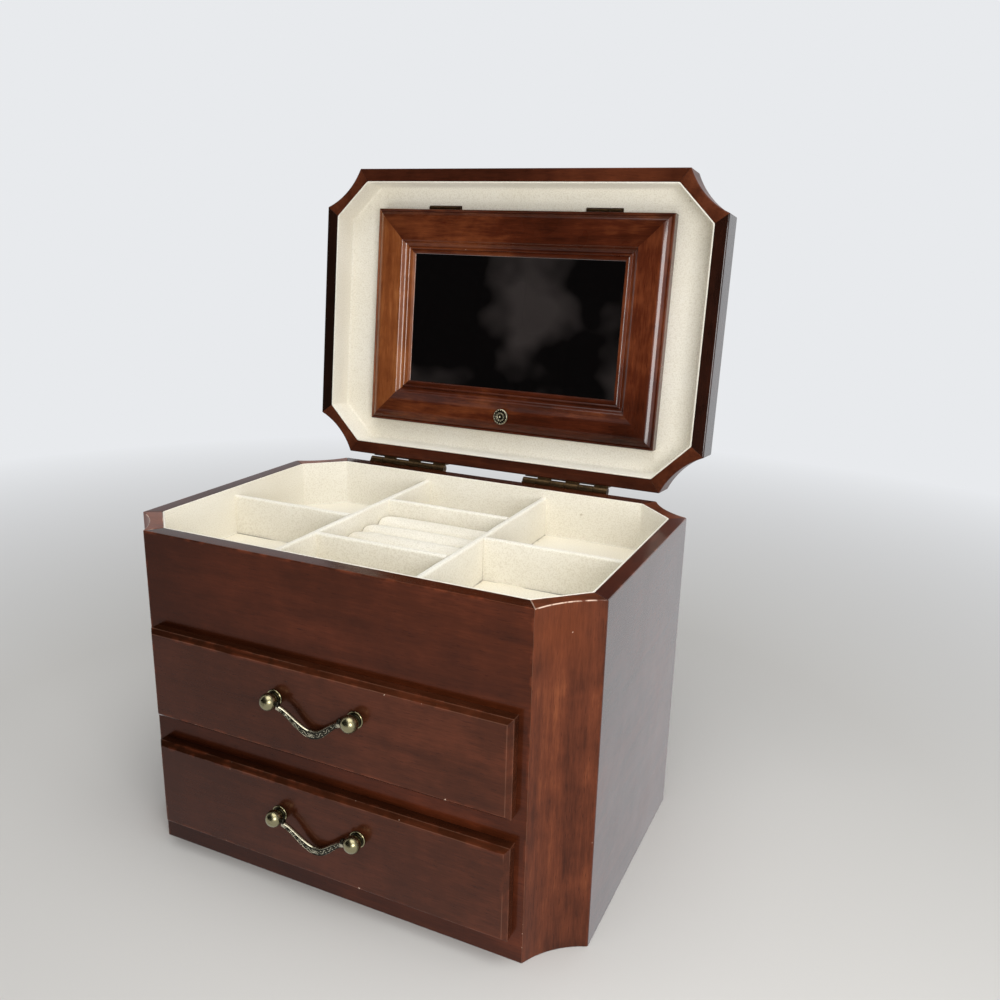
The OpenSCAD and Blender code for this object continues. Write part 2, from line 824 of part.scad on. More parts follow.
// The lid's leaf is the case's turned over, with a heel on each knuckle as the stop
module lid_hinge_lid_leaves() {
    heel_y = half_d - axis_y + leaf_t + heel_clear;
    color(brass) at_lid_hinges() {
        rotate([-open_angle, 0, 0]) mirror([0, 0, 1]) hinge_leaf(1);
        difference() {
            knuckles(hinge_len, knuckle_count, 1, knuckle_gap) translate([0, heel_y, -heel])
                cube([hinge_len, heel_t, heel]);
            along_x(hinge_pin_d + 2 * pin_clear, hinge_len + 2, -hinge_len / 2 - 1);
        }
    }
}

module lid_hinge_pins() {
    color(brass) at_lid_hinges()
        along_x(hinge_pin_d, hinge_len, -hinge_len / 2);
}

module leaf_screw_heads() {
    at_leaf_screws() translate([0, half_d - axis_y, -screw_row]) rotate([-90, 0, 0]) {
        cylinder(d = leaf_screw_d - 1.2, h = leaf_t + 0.1);
        translate([0, 0, leaf_t]) rotate_extrude() polygon(concat(
            [[0, 0], [leaf_screw_d / 2, 0]],
            [for (a = [15 : 15 : 90]) [leaf_screw_d / 2 * cos(a), 0.7 * sin(a)]]
        ));
    }
}

module lid_hinge_case_screws() {
    color(brass) at_lid_hinges() leaf_screw_heads();
}

module lid_hinge_lid_screws() {
    color(brass) at_lid_hinges()
        rotate([-open_angle, 0, 0]) mirror([0, 0, 1]) leaf_screw_heads();
}

// Moulding of the mirror frame: height over the back against distance from the outer edge
inner = frame_w;
field_in = frame_w - 8.6;
moulding = concat(
    [[0, 0], [0, door_t - 3.3]],
    arc([0.9, door_t - 3.3], 0.9, 180, 45, 4), [[1.8, door_t - 3], [2.2, door_t - 2.4]],
    arc([8.2, door_t - 9.6], 9.4, 130, 94, 5),
    [for (i = [1 : 5]) [7.6 + (field_in - 7.6) * i / 5, door_t - 0.6 * sin(36 * i)]],
    [[field_in + 0.5, door_t - 0.4]],
    arc([field_in + 4.2, door_t + 0.6], 3.7, 200, 262, 4),
    arc([field_in + 4.9, door_t - 2.7], 0.7, 150, 0, 4),
    [[field_in + 5.7, door_t - 3.3], [field_in + 6.2, door_t - 3.1]],
    arc([inner - 1.5, door_t - 4.5], 1.4, 100, 10, 4),
    [[inner, door_t - 4.8], [inner, backing_t + glass_t], [inner - rebate_w, backing_t + glass_t],
     [inner - rebate_w, 0]]
);

// A mitred rail along the top of the door, cut from the moulding
module door_rail(len) {
    far = len;
    translate([0, 0, door_back]) difference() {
        translate([-len / 2, 0, 0]) rotate([90, 0, 90])
            linear_extrude(len) mirror([1, 0]) polygon(moulding);
        for (s = [-1, 1]) scale([s, 1, 1]) translate([len / 2, 0, -1])
            rotate([0, 0, -45]) translate([0, -2 * far, 0]) cube([far, 4 * far, door_t + 2]);
    }
}

module at_door_top() {
    translate([0, door_h / 2, 0]) children();
}

module door_top_rail() {
    slot = door_hinge_len + 0.4;
    color(wood) in_lid() difference() {
        at_door_top() door_rail(door_w);
        at_door_hinges() translate([-slot / 2, door_h / 2 - door_leaf_w - 0.2, door_back - 1])
            cube([slot, door_leaf_w + 1, door_leaf_t + 1]);
    }
}

module door_bottom_rail() {
    color(wood) in_lid() difference() {
        mirror([0, 1, 0]) at_door_top() door_rail(door_w);
        translate([0, knob_y, door_back - 1]) cylinder(r = knob_screw_d / 2 + screw_clear, h = door_t + 2);
        translate([0, knob_y, door_back - 1]) cylinder(d = 2 * knob_screw_d + 1, h = 3);
        translate([0, knob_y, knob_seat]) cylinder(d = knob_foot + 0.6, h = door_t);
        at_magnets() translate([0, 0, door_back - 1]) cylinder(d = magnet_d + 1, h = plate_t + 1);
    }
}

module door_left_rail() {
    color(wood) in_lid() translate([-door_w / 2, 0, 0]) rotate([0, 0, 90]) door_rail(door_h);
}

module door_right_rail() {
    color(wood) in_lid() translate([door_w / 2, 0, 0]) rotate([0, 0, -90]) door_rail(door_h);
}

module behind_frame(clear, z, t) {
    w = door_w - 2 * (frame_w - rebate_w) - 2 * clear;
    h = door_h - 2 * (frame_w - rebate_w) - 2 * clear;
    translate([-w / 2, -h / 2, z]) cube([w, h, t]);
}

module mirror_glass() {
    color(silvered) in_lid() behind_frame(glass_clear, glass_back, glass_t);
}

module mirror_backing() {
    color(inner_wood) in_lid() behind_frame(glass_clear / 2, door_back, backing_t);
}

// A turned rosette knob: foot, waist, beaded rim and a raised centre
module door_knob() {
    r = knob_d / 2;
    color(brass) in_lid() translate([0, knob_y, knob_seat]) difference() {
        rotate_extrude() polygon(concat(
            [[0, 0], [knob_foot / 2, 0], [knob_foot / 2, 1]],
            arc([0.75 * r, 0.45 * knob_h], 0.4 * r, 250, 180, 4),
            arc([r - 0.9, 0.62 * knob_h], 0.9, 200, 440, 8),
            [[0.62 * r, 0.70 * knob_h], [0.56 * r, 0.84 * knob_h], [0.38 * r, 0.84 * knob_h],
             [0.32 * r, 0.76 * knob_h]],
            [for (a = [20 : 14 : 90]) [0.32 * r * cos(a), knob_h * (0.76 + 0.24 * sin(a))]],
            [[0, knob_h]]
        ));
        translate([0, 0, -1]) cylinder(d = knob_screw_d, h = 0.5 * knob_h + 1);
    }
}

module knob_screw() {
    color(steel) in_lid() translate([0, knob_y, door_back + 0.2]) {
        cylinder(d = 2 * knob_screw_d, h = 1.8);
        cylinder(d = knob_screw_d, h = knob_seat - door_back - 0.5 + 0.5 * knob_h);
    }
}

module catch_plates() {
    color(steel) in_lid() at_magnets() translate([0, 0, door_back])
        cylinder(d = magnet_d + 1, h = plate_t);
}

module door_hinge_leaf(first, z) {
    difference() {
        union() {
            translate([-door_hinge_len / 2, door_h / 2 - door_leaf_w, z])
                cube([door_hinge_len, door_leaf_w - 0.2, door_leaf_t]);
            translate([0, door_axis_y, door_axis_z])
                knuckles(door_hinge_len, 3, first, 0.3) union() {
                    along_x(door_barrel_d, door_hinge_len);
                    translate([0, door_h / 2 - door_axis_y - 0.5, z - door_axis_z])
                        cube([door_hinge_len, door_axis_y - door_h / 2 + 0.5, door_leaf_t]);
                }
        }
        translate([0, door_axis_y, door_axis_z])
            along_x(door_pin_d + 2 * pin_clear, door_hinge_len + 2, -door_hinge_len / 2 - 1);
    }
}

module door_hinge_lid_leaves() {
    color(brass) in_lid() at_door_hinges() door_hinge_leaf(1, -lid_recess);
}

module door_hinge_door_leaves() {
    color(brass) in_lid() at_door_hinges() door_hinge_leaf(0, door_leaf_z);
}

module door_hinge_pins() {
    color(brass) in_lid() at_door_hinges() translate([0, door_axis_y, door_axis_z])
        along_x(door_pin_d, door_hinge_len, -door_hinge_len / 2);
}

case_front();
case_back();
case_left_side();
case_right_side();
case_corner_posts();
case_bottom();
drawer_shelf();
drawer_runners();
tray_board();
tray_liner();
tray_floor_felt();
left_divider();
right_divider();
left_cross_divider();
right_cross_divider();
front_cross_divider();
rear_cross_divider();
ring_rolls();
upper_drawer_front();
upper_drawer_sides();
upper_drawer_ends();
upper_drawer_bottom();
upper_drawer_lining();
upper_pull_posts();
upper_pull_screws();
upper_pull_bail();
lower_drawer_front();
lower_drawer_sides();
lower_drawer_ends();
lower_drawer_bottom();
lower_drawer_lining();
lower_pull_posts();
lower_pull_screws();
lower_pull_bail();
lid_panel();
lid_front_rail();
lid_rear_rail();
lid_left_rail();
lid_right_rail();
lid_corner_posts();
lid_liner();
lid_floor_felt();
catch_magnets();
lid_hinge_case_leaves();
lid_hinge_lid_leaves();
lid_hinge_pins();
lid_hinge_case_screws();
lid_hinge_lid_screws();
door_top_rail();
door_bottom_rail();
door_left_rail();
door_right_rail();
mirror_glass();
mirror_backing();
door_knob();
knob_screw();
catch_plates();
door_hinge_lid_leaves();
door_hinge_door_leaves();
door_hinge_pins();
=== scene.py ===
# %% [markdown]
# A vanity box of dark lacquered wood, standing open: a lid with a framed mirror in it, a felt
# tray with padded ring rolls, and two drawers with swinging brass pulls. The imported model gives
# every rigid piece at its real size. This script gives the pieces their finish, and makes anew
# the ones whose beauty lies in small forms: soft felt, turned brass and eased wooden edges.

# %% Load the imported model
import bpy
import bmesh
import json
import math
import numpy as np
from mathutils import Matrix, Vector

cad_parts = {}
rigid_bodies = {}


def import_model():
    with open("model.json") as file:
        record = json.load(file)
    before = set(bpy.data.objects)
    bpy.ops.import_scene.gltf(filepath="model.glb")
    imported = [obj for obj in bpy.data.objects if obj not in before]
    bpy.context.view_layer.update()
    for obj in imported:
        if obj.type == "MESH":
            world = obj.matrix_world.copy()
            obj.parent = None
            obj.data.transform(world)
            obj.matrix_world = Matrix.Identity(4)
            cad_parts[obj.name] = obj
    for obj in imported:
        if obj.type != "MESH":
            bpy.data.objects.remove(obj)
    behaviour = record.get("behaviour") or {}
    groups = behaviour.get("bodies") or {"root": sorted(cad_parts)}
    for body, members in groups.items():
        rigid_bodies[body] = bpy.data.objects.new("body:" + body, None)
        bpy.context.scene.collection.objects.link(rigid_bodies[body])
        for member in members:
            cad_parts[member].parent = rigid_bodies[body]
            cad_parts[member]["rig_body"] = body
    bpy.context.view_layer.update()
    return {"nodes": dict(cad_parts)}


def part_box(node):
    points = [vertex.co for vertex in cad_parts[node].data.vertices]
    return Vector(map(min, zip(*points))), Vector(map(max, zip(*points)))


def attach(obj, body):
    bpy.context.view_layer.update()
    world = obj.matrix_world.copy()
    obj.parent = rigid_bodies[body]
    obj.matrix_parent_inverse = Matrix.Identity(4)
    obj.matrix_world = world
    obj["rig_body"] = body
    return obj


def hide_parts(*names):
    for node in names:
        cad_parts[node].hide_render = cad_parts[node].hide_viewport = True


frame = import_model()
nodes = frame["nodes"]
scene = bpy.context.scene
MM = 0.001


def placed(name, data):
    """A new object in the scene that shows the data."""
    obj = bpy.data.objects.new(name, data)
    scene.collection.objects.link(obj)
    return obj


def box_of(node):
    """The lowest and the highest corner of a piece of the model, in millimetres."""
    low, high = (np.array(corner, float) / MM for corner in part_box(node))
    return low, high


def pose(x_axis, y_axis, z_axis, place):
    """The matrix whose columns are an object's own three axes and its place, in metres."""
    columns = np.eye(4)
    columns[:3] = np.column_stack([x_axis, y_axis, z_axis, place])
    return Matrix(columns.tolist())


print("pieces in the model:", len(nodes))

# %% [markdown]
# The camera comes first, because every later choice is judged through it. Its place and its
# lens were solved from the straight edges of the box in the photograph: three directions that
# are square to each other fix how the camera is turned, and the box's own size fixes how far
# away it stands. A camera's own axes are right, up and backwards, so the three solved directions
# are simply the columns of its matrix.

# %% Camera
CAMERA_PLACE = np.array([257.45, -451.18, 349.35])
FILM_WIDTH, FOCAL_LENGTH = 36, 33.56
right = np.array([0.90672, 0.42103, 0.02433])
up = np.array([-0.13792, 0.24151, 0.96055])
lens = bpy.data.cameras.new("photo_lens")
lens.sensor_width = FILM_WIDTH
lens.lens = FOCAL_LENGTH
camera = placed("photo_camera", lens)
camera.matrix_world = pose(right, up, np.cross(right, up), CAMERA_PLACE * MM)
scene.camera = camera
scene.view_settings.view_transform = "Standard"
print("lens", lens.lens, "mm")

# %% [markdown]
# The lid stands open, leaning back a little, so its parts are easier to describe lying flat. The
# lid's frame has X to the right, Y up the lid and Z out of its recess. The hinge pin lies at
# Y = -101 and Z = -0.2 there, in millimetres. In the room it lies in the middle of its own box.

# %% Frame of the open lid
LID_OPENING = 95.75
PIN_LID = np.array([-101.0, -0.2])
PIN_ROOM = np.mean(box_of("lid_hinge_pins"), axis=0)[1:]
LID_TURN = math.radians(180 - LID_OPENING)
LID_AXES = np.array([[math.cos(LID_TURN), -math.sin(LID_TURN)],
                     [math.sin(LID_TURN), math.cos(LID_TURN)]])
LID_SHIFT = (0, *((PIN_LID - LID_AXES.T @ PIN_ROOM) * MM).tolist())


def from_lid(points):
    """Points of the lid's frame, in the room: a turn about the hinge pin."""
    points = np.asarray(points, float)
    flat = (points[..., 1:] - PIN_LID) @ LID_AXES.T + PIN_ROOM
    return np.concatenate([points[..., :1], flat], axis=-1)


print("middle of the lid's rim:", from_lid([0, 0, 0]).round(2))

# %% [markdown]
# Shader maths reads best as maths. This small class wraps one output of a node, and overloads
# the operators, so that an expression such as 1 - mask * 0.5 adds the Math nodes by itself.
# Every other node comes from one method of its tree, which takes the node's type, its settings,
# and the values or links of its sockets.

# %% Sockets with operators
def operator(operation, reflected=False):
    """A method of two values that adds one Math node, with the values swapped if reflected."""
    def method(self, other):
        return self.maths(operation, *((other, self) if reflected else (self, other)))
    return method


class Socket:
    """One output of a node, with arithmetic: each operator adds one Math node."""

    def __init__(self, tree, link):
        self.tree = tree
        self.link = link

    def maths(self, operation, *values):
        return self.tree.node("ShaderNodeMath", {"operation": operation},
                              dict(enumerate(values)))

    __add__, __radd__ = operator("ADD"), operator("ADD", True)
    __sub__, __rsub__ = operator("SUBTRACT"), operator("SUBTRACT", True)
    __mul__, __rmul__ = operator("MULTIPLY"), operator("MULTIPLY", True)
    __truediv__, __gt__ = operator("DIVIDE"), operator("GREATER_THAN")
    most = operator("MAXIMUM")

    def __abs__(self):
        return self.maths("ABSOLUTE", self)

    def sqrt(self):
        return self.maths("SQRT", self)

    def hypot(self, other):
        """The length of a slanting line whose two square parts are self and other."""
        return (self * self + other * other).sqrt()

    def least(self, *others):
        """The smallest of several values."""
        result = self
        for other in others:
            result = self.maths("MINIMUM", result, other)
        return result

    def ramp(self, low, high):
        """0 at low, 1 at high, straight between and held outside."""
        return self.tree.node("ShaderNodeMapRange", {"clamp": True},
                              {0: self, 1: low, 2: high, 3: 0.0, 4: 1.0})


class Tree:
    """The nodes of a material or of the world."""

    def __init__(self, owner):
        owner.use_nodes = True
        self.nodes = owner.node_tree.nodes
        self.links = owner.node_tree.links

    def node(self, kind, settings=None, sockets=None, out=0):
        made = self.nodes.new(kind)
        for name, value in (settings or {}).items():
            setattr(made, name, value)
        for key, value in (sockets or {}).items():
            if isinstance(value, Socket):
                self.links.new(value.link, made.inputs[key])
            else:
                made.inputs[key].default_value = value
        return Socket(self, made.outputs[out])

    def show(self, shader, output):
        """Makes a shader the one that the named output node shows."""
        self.links.new(shader.link, self.nodes[output].inputs["Surface"])


class Finish(Tree):
    """A material under construction: its nodes, and its one shader."""

    def __init__(self, name, **constants):
        self.material = bpy.data.materials.new(name)
        super().__init__(self.material)
        self.shader = self.nodes["Principled BSDF"]
        for socket, value in constants.items():
            self.shader.inputs[socket.replace("_", " ")].default_value = value

    def place(self, shift=(0, 0, 0), scale=(1, 1, 1), lid=False):
        """Object coordinates in metres, moved and stretched. With lid they are first turned into
        the open lid's own frame: X right, Y up the lid, Z out of it, 0 in the middle of its rim."""
        raw = self.node("ShaderNodeTexCoord", out="Object")
        if lid:
            raw = self.node("ShaderNodeMapping", {}, {
                "Vector": raw, "Location": LID_SHIFT, "Rotation": (-LID_TURN, 0, 0)})
        return self.node("ShaderNodeMapping", {}, {"Vector": raw, "Location": shift, "Scale": scale})

    def noise(self, vector, scale, detail=3.0, roughness=0.5, distortion=0.0):
        return self.node("ShaderNodeTexNoise", {}, {
            "Vector": vector, "Scale": scale, "Detail": detail,
            "Roughness": roughness, "Distortion": distortion})

    def mix(self, factor, first, second):
        """A colour between two colours."""
        return self.node("ShaderNodeMix", {"data_type": "RGBA"}, {0: factor, 6: first, 7: second}, out=2)

    def split(self, vector):
        parts = self.node("ShaderNodeSeparateXYZ", {}, {0: vector})
        return [Socket(self, output) for output in parts.link.node.outputs]

    def bump(self, height, strength, distance):
        return self.node("ShaderNodeBump", {}, {
            "Height": height, "Strength": strength, "Distance": distance})

    def wire(self, **sockets):
        for name, value in sockets.items():
            self.links.new(value.link, self.shader.inputs[name.replace("_", " ")])
        return self.material


def tone(red, green, blue):
    """A colour as a screen shows it, 0 to 255, turned to the linear light that a shader wants."""
    screen = np.array([red, green, blue]) / 255
    linear = np.where(screen <= 0.04045, screen / 12.92, ((screen + 0.055) / 1.055) ** 2.4)
    return (*linear.tolist(), 1.0)


print("a middle grey in linear light:", tone(128, 128, 128)[0])

# %% [markdown]
# The box stands on a plain pale floor. The camera and the reflections see a plain pale room
# behind everything, and only the light on the box is dimmer than that room. Far from the box the
# floor fades into the room's colour, so that no horizon cuts the picture, and in reflections it
# is paler from close by.

# %% Floor and world
ROOM_TONE = tone(232, 234, 237)
FLOOR_REACH, FADE_FROM, FADE_TO, PALER_IN_GLOSS, ROOM_LIGHT = 6, 0.35, 1.1, 0.85, 0.38
floor_mesh = bpy.data.meshes.new("floor")
corners = [(x * FLOOR_REACH, y * FLOOR_REACH, 0) for x, y in ((-1, -1), (1, -1), (1, 1), (-1, 1))]
floor_mesh.from_pydata(corners, [], [(0, 1, 2, 3)])
floor = placed("floor", floor_mesh)
pale_floor = Finish("pale_floor", Base_Color=tone(210, 208, 204), Roughness=0.9, Specular_IOR_Level=0.2)
east, north, _ = pale_floor.split(pale_floor.place())
far = east.hypot(north).ramp(FADE_FROM, FADE_TO)
direct = pale_floor.node("ShaderNodeLightPath", out="Is Camera Ray")
mirrored = pale_floor.node("ShaderNodeLightPath", out="Is Glossy Ray")
paler = (far * direct).most(far.most(PALER_IN_GLOSS) * mirrored)
glow = pale_floor.node("ShaderNodeEmission", {}, {"Color": ROOM_TONE})
lit_floor = Socket(pale_floor, pale_floor.shader.outputs[0])
pale_floor.show(pale_floor.node("ShaderNodeMixShader", {}, {0: paler, 1: lit_floor, 2: glow}),
                "Material Output")
floor_mesh.materials.append(pale_floor.material)

world = bpy.data.worlds.new("pale_room")
scene.world = world
sky = Tree(world)
background = sky.nodes["Background"]
background.inputs["Color"].default_value = ROOM_TONE
background.inputs["Strength"].default_value = ROOM_LIGHT
pale = sky.node("ShaderNodeBackground", {}, {"Color": ROOM_TONE, "Strength": 1.0})
seen = sky.node("ShaderNodeLightPath", out="Is Camera Ray").most(
    sky.node("ShaderNodeLightPath", out="Is Glossy Ray"))
sky.show(sky.node("ShaderNodeMixShader", {}, {0: seen, 1: Socket(sky, background.outputs[0]), 2: pale}),
         "World Output")
print("floor", 2 * FLOOR_REACH, "m wide, fading between", FADE_FROM, "and", FADE_TO, "m from its middle")

# %% [markdown]
# A wide lamp above gives the felt its even light, and a smaller one near the front right makes
# the front fade from right to left and wakes a sparkle on every round edge. A weak low lamp lies
# on the floor in front, as light comes back from a pale floor, and leaves a soft dark band above
# each drawer. It shows neither to the camera nor in the gloss.

# %% Lamps
def soft_lamp(name, place, aim, size, power):
    """A square lamp that looks from place to aim, both in metres."""
    lamp = bpy.data.lights.new(name, "AREA")
    lamp.size = size
    lamp.energy = power
    away = np.array(place, float) - np.array(aim, float)
    away /= np.linalg.norm(away)
    upright = abs(away[2]) > 0.99
    side = np.array([1.0, 0, 0]) if upright else np.cross([0, 0, 1.0], away)
    side /= np.linalg.norm(side)
    obj = placed(name, lamp)
    obj.matrix_world = pose(side, np.cross(away, side), away, place)
    return obj


soft_lamp("lamp_above", (0.25, -0.25, 1.6), (0, 0, 0.2), 1.3, 15)
soft_lamp("lamp_right", (0.46, -0.50, 0.34), (0.05, 0, 0.14), 0.3, 2.6)
low_lamp = soft_lamp("lamp_low", (-0.12, -0.40, 0.004), (-0.12, -0.399, 1), 0.24, 0.9)
low_lamp.visible_camera = False
low_lamp.visible_glossy = False
print("lamps:", len(bpy.data.lights))

# %% [markdown]
# A mirror shows what stands in front of it. In the photograph that is a dark room behind the
# camera, so a large dark sheet stands there, curved like a piece of a globe. Only reflections
# find it: the camera can't see it, and it throws no shadow. Like every new surface here, the
# sheet is a grid of points, and a small function gives the quads between them.

# %% Dark sheet for the mirror
def quads_of(index):
    """The quads of a grid: corner (i, j) is joined to (i+1, j), (i+1, j+1) and (i, j+1)."""
    return np.stack([index[:-1, :-1], index[1:, :-1], index[1:, 1:], index[:-1, 1:]], -1).reshape(-1, 4)


SHEET_RADIUS, SHEET_COLUMNS, SHEET_ROWS = 2.2, 25, 17
azimuth = np.radians(np.linspace(-170, -75, SHEET_COLUMNS))[:, None]
elevation = np.radians(np.linspace(1, 62, SHEET_ROWS))[None, :]
globe = SHEET_RADIUS * np.stack([np.cos(elevation) * np.cos(azimuth), np.cos(elevation) * np.sin(azimuth),
                                 np.sin(elevation) + 0 * azimuth], axis=-1)
sheet_mesh = bpy.data.meshes.new("dark_sheet")
sheet_mesh.from_pydata(globe.reshape(-1, 3).tolist(), [],
                       quads_of(np.arange(globe[..., 0].size).reshape(globe.shape[:2])).tolist())
sheet = placed("dark_sheet", sheet_mesh)
dark_room = Finish("dark_room", Roughness=1.0, Specular_IOR_Level=0.0)
# The paler patches on the dark sheet stand in for dim things in the room, seen only in the mirror.
room_shapes = dark_room.noise(dark_room.place(), 2.6, detail=3.0).ramp(0.49, 0.60)
dark_room.wire(Base_Color=dark_room.mix(room_shapes, tone(22, 19, 19), tone(84, 75, 73)))
sheet_mesh.materials.append(dark_room.material)
sheet.visible_camera = False
sheet.visible_diffuse = False
sheet.visible_shadow = False
print("dark sheet of", len(sheet_mesh.polygons), "quads")

# %% [markdown]
# The wood is stained a deep red brown and lacquered. Under the lacquer, wood shows at three
# sizes: slow bands where the rings were cut, fine streaks along the fibres, and short dark pores.
# All three are noise stretched along the grain. A clear coat over a duller base gives the depth.
# Long use leaves small pale nicks and a rubbed line along the edges. They come where a mask of
# closeness to the edge meets a coarse noise.

# %% Lacquered wood
GRAIN = {"x": (0.10, 1, 1), "y": (1, 0.10, 1), "z": (1, 1, 0.10)}
NICK = tone(214, 186, 164)


def deeper(colour, part):
    """The same colour with only a part of its light."""
    return (*(channel * part for channel in colour[:3]), 1)


def lacquered_wood(name, dark, middle, light, grain, shift=(0, 0, 0), figure=1.0, coat=0.2,
                   coat_ior=1.3, shine=0.04, rough=0.30, edge=None, arris=0.0, wear=0.5,
                   deeper_stain_and_shade=None, polish=None, top=None, varnish=(1, 1, 1, 1), lid=False):
    """figure scales the contrast of the bands, edge gives the distance to a worn edge in metres,
    arris is the strength of the rubbed line right on it, wear that of the patches beside it.
    Three more functions may give masks: one where the colour is deeper, from a deeper stain and,
    on the front, from painted shade; polish where the coat is full; and top, a pair: a painted warm
    glow and a painted highlight. varnish tints the gloss under the coat, as a stained varnish
    does."""
    wood = Finish(name, Coat_Weight=coat, Coat_Roughness=0.08, Coat_IOR=coat_ior,
                  Specular_IOR_Level=shine, Specular_Tint=varnish)
    fibre = wood.place(shift, GRAIN[grain], lid)
    plain = wood.place(shift, (1, 1, 1), lid)
    bands = wood.noise(fibre, 58, detail=2.5, roughness=0.45, distortion=1.1)
    streaks = wood.noise(fibre, 420, detail=3, roughness=0.6)
    fine = wood.noise(fibre, 1400, detail=2)
    pores = wood.noise(fibre, 1900, detail=1.0).ramp(0.66, 0.76)
    clouds = wood.noise(plain, 11, detail=2)
    mottle = wood.noise(plain, 75, detail=3)
    depth = ((bands - 0.5) * (0.70 * figure) + (streaks - 0.5) * (0.42 * figure)
             + (fine - 0.5) * 0.30 + (clouds - 0.5) * 0.9 + (mottle - 0.5) * 0.5)
    base = wood.mix(depth.ramp(-0.42, 0.0), dark, wood.mix(depth.ramp(0.0, 0.42), middle, light))
    base = wood.mix(pores * 0.5, base, deeper(dark, 0.35))
    # On the front and the drawers this darkening is painted shade; on the lid and frame, deeper stain.
    if deeper_stain_and_shade is not None:
        base = wood.mix(deeper_stain_and_shade(wood), base, deeper(dark, 0.5))
    dull = wood.noise(plain, 34, detail=3) * 0.14 + rough
    if edge is not None:
        distance = edge(wood)
        nicks = wood.noise(plain, 300, detail=2.5).ramp(0.75, 0.765) * distance.ramp(0.0011, 0.0005)
        rubbed = wood.noise(plain, 130, detail=3).ramp(0.48, 0.62) * distance.ramp(0.0018, 0.0003)
        line = wood.noise(plain, 60, detail=2).ramp(0.34, 0.52) * distance.ramp(0.00036, 0.00010)
        base = wood.mix(rubbed * wear, base, tone(112, 54, 32))
        base = wood.mix(line * arris, base, tone(188, 138, 112))
        # top paints light on the front posts: a warm glow near the top and a highlight along the edge.
        if top is not None:
            painted_glow, bright = top(wood)
            base = wood.mix(painted_glow * 0.35, base, tone(118, 58, 27))
            base = wood.mix(bright * 0.85, base, tone(236, 206, 184))
        base = wood.mix(nicks, base, NICK)
        dull = dull + nicks * 0.3
    scuffs = wood.noise(plain, 330, detail=1).ramp(0.835, 0.85)
    base = wood.mix(scuffs * 0.7, base, NICK)
    relief = streaks * 0.35 - pores * 0.8 + fine * 0.3 + wood.noise(plain, 240, detail=1) * 0.4
    if polish is not None:
        wood.wire(Coat_Weight=polish(wood))
    return wood.wire(Base_Color=base, Roughness=dull, Normal=wood.bump(relief, 0.12, 0.0003))

# %% [markdown]
# Wear sits on edges, so a finish has to know how far a point lies from the nearest one. The
# distance to an edge is the length of a slanting line: its two parts are how far the point lies
# from each of the two faces that meet there. The sizes come from the model's own pieces.

# %% Edges of the case and of the drawers
def span(node, axis):
    """Where a piece begins and ends along an axis, in metres."""
    return [float(corner[axis]) * MM for corner in box_of(node)]


HALF_X, HALF_Y = span("case_right_side", 0)[1], span("case_back", 1)[1]
POST_X, POST_Y = span("case_front", 0)[1], span("case_right_side", 1)[1]
RIM_Z = span("case_front", 2)[1]
SLANT = math.sqrt(0.5)
DRAWER_BEVEL = 0.0024


def box_edges(wood, half, centre):
    """Distance to the nearest edge of a box: the smallest for its three pairs of faces."""
    parts = wood.split(wood.place())
    gaps = [abs(part - middle) - size for part, middle, size in zip(parts, centre, half)]
    pairs = [gaps[i].hypot(gaps[j]) for i, j in ((0, 1), (0, 2), (1, 2))]
    return pairs[0].least(*pairs[1:])


def drawer_front_edges(drawer):
    """Distance to the arrises of a drawer front: those of its face, inside the bevel, and those
    of its block, behind the bevel."""
    def edge(wood):
        node = drawer + "_drawer_front"
        right_end, face = span(node, 0)[1], span(node, 1)[0]
        under, over = span(node, 2)
        centre = (0, 0, (under + over) / 2)
        tall = (over - under) / 2
        inside = box_edges(wood, (right_end - DRAWER_BEVEL, -face, tall - DRAWER_BEVEL), centre)
        return inside.least(box_edges(wood, (right_end, -face - DRAWER_BEVEL, tall), centre))
    return edge


def case_edges(wood):
    """Distance to the rim outside and to the upright arrises of the case. out is how far a point
    lies outside the cut-cornered plan. On the rim, out and the height from it are both 0."""
    x, y, z = wood.split(wood.place())
    ax, ay = abs(x), abs(y)
    out = (ax - HALF_X).most(ay - HALF_Y).most((ax + ay - (HALF_X + POST_Y)) * SLANT)
    rim = out.hypot(z - RIM_Z)
    return rim.least((ax - POST_X).hypot(ay - HALF_Y), (ax - HALF_X).hypot(ay - POST_Y))


print("half the case, in metres:", HALF_X, HALF_Y, "rim at", RIM_Z)

# %% [markdown]
# Stain, gloss and the light painted into the colour aren't even over a board. Each of the next
# functions gives one such mask, from 0 to 1: painted shade towards the left of the front, a deeper
# stain where rails meet, a coat worn dull, a full polish on the outside only, and a painted glow
# and a painted highlight at the tops of the front posts.

# %% Uneven stain and gloss
def painted_shade_left(wood):
    """Painted shade, darker towards the left end of the front: 0.85 there, falling to 0."""
    return wood.split(wood.place())[0].ramp(0.09, -HALF_X) * 0.85


def duller_left(full):
    """The coat of the front is worn dull towards its left end, and on its top edge."""
    def polish(wood):
        x, _, z = wood.split(wood.place())
        below_rim = z.ramp(RIM_Z - 0.0001, RIM_Z - 0.0007)
        return (x.ramp(-0.13, 0.10) * (full * 0.92) + full * 0.08) * below_rim
    return polish


def darker_ends(far_x, far_y):
    """The stain of the lid and its frame is deeper towards the corners, where rails meet."""
    def deeper_stain_and_shade(wood):
        x, y, _ = wood.split(wood.place(lid=True))
        blotch = wood.noise(wood.place(), 30, detail=2) * 0.5 + 0.5
        return (abs(x) / far_x).most(abs(y) / far_y).ramp(0.62, 1.0) * blotch * 0.55
    return deeper_stain_and_shade


def outer_side(wood):
    """Where the sides face outwards they are polished to a full gloss, and only there."""
    x, _, z = wood.split(wood.place())
    outside = abs(x).ramp(HALF_X - 0.0007, HALF_X - 0.0003)
    return outside * (z.ramp(0.02, 0.17) * 0.18 + 0.60) + 0.12


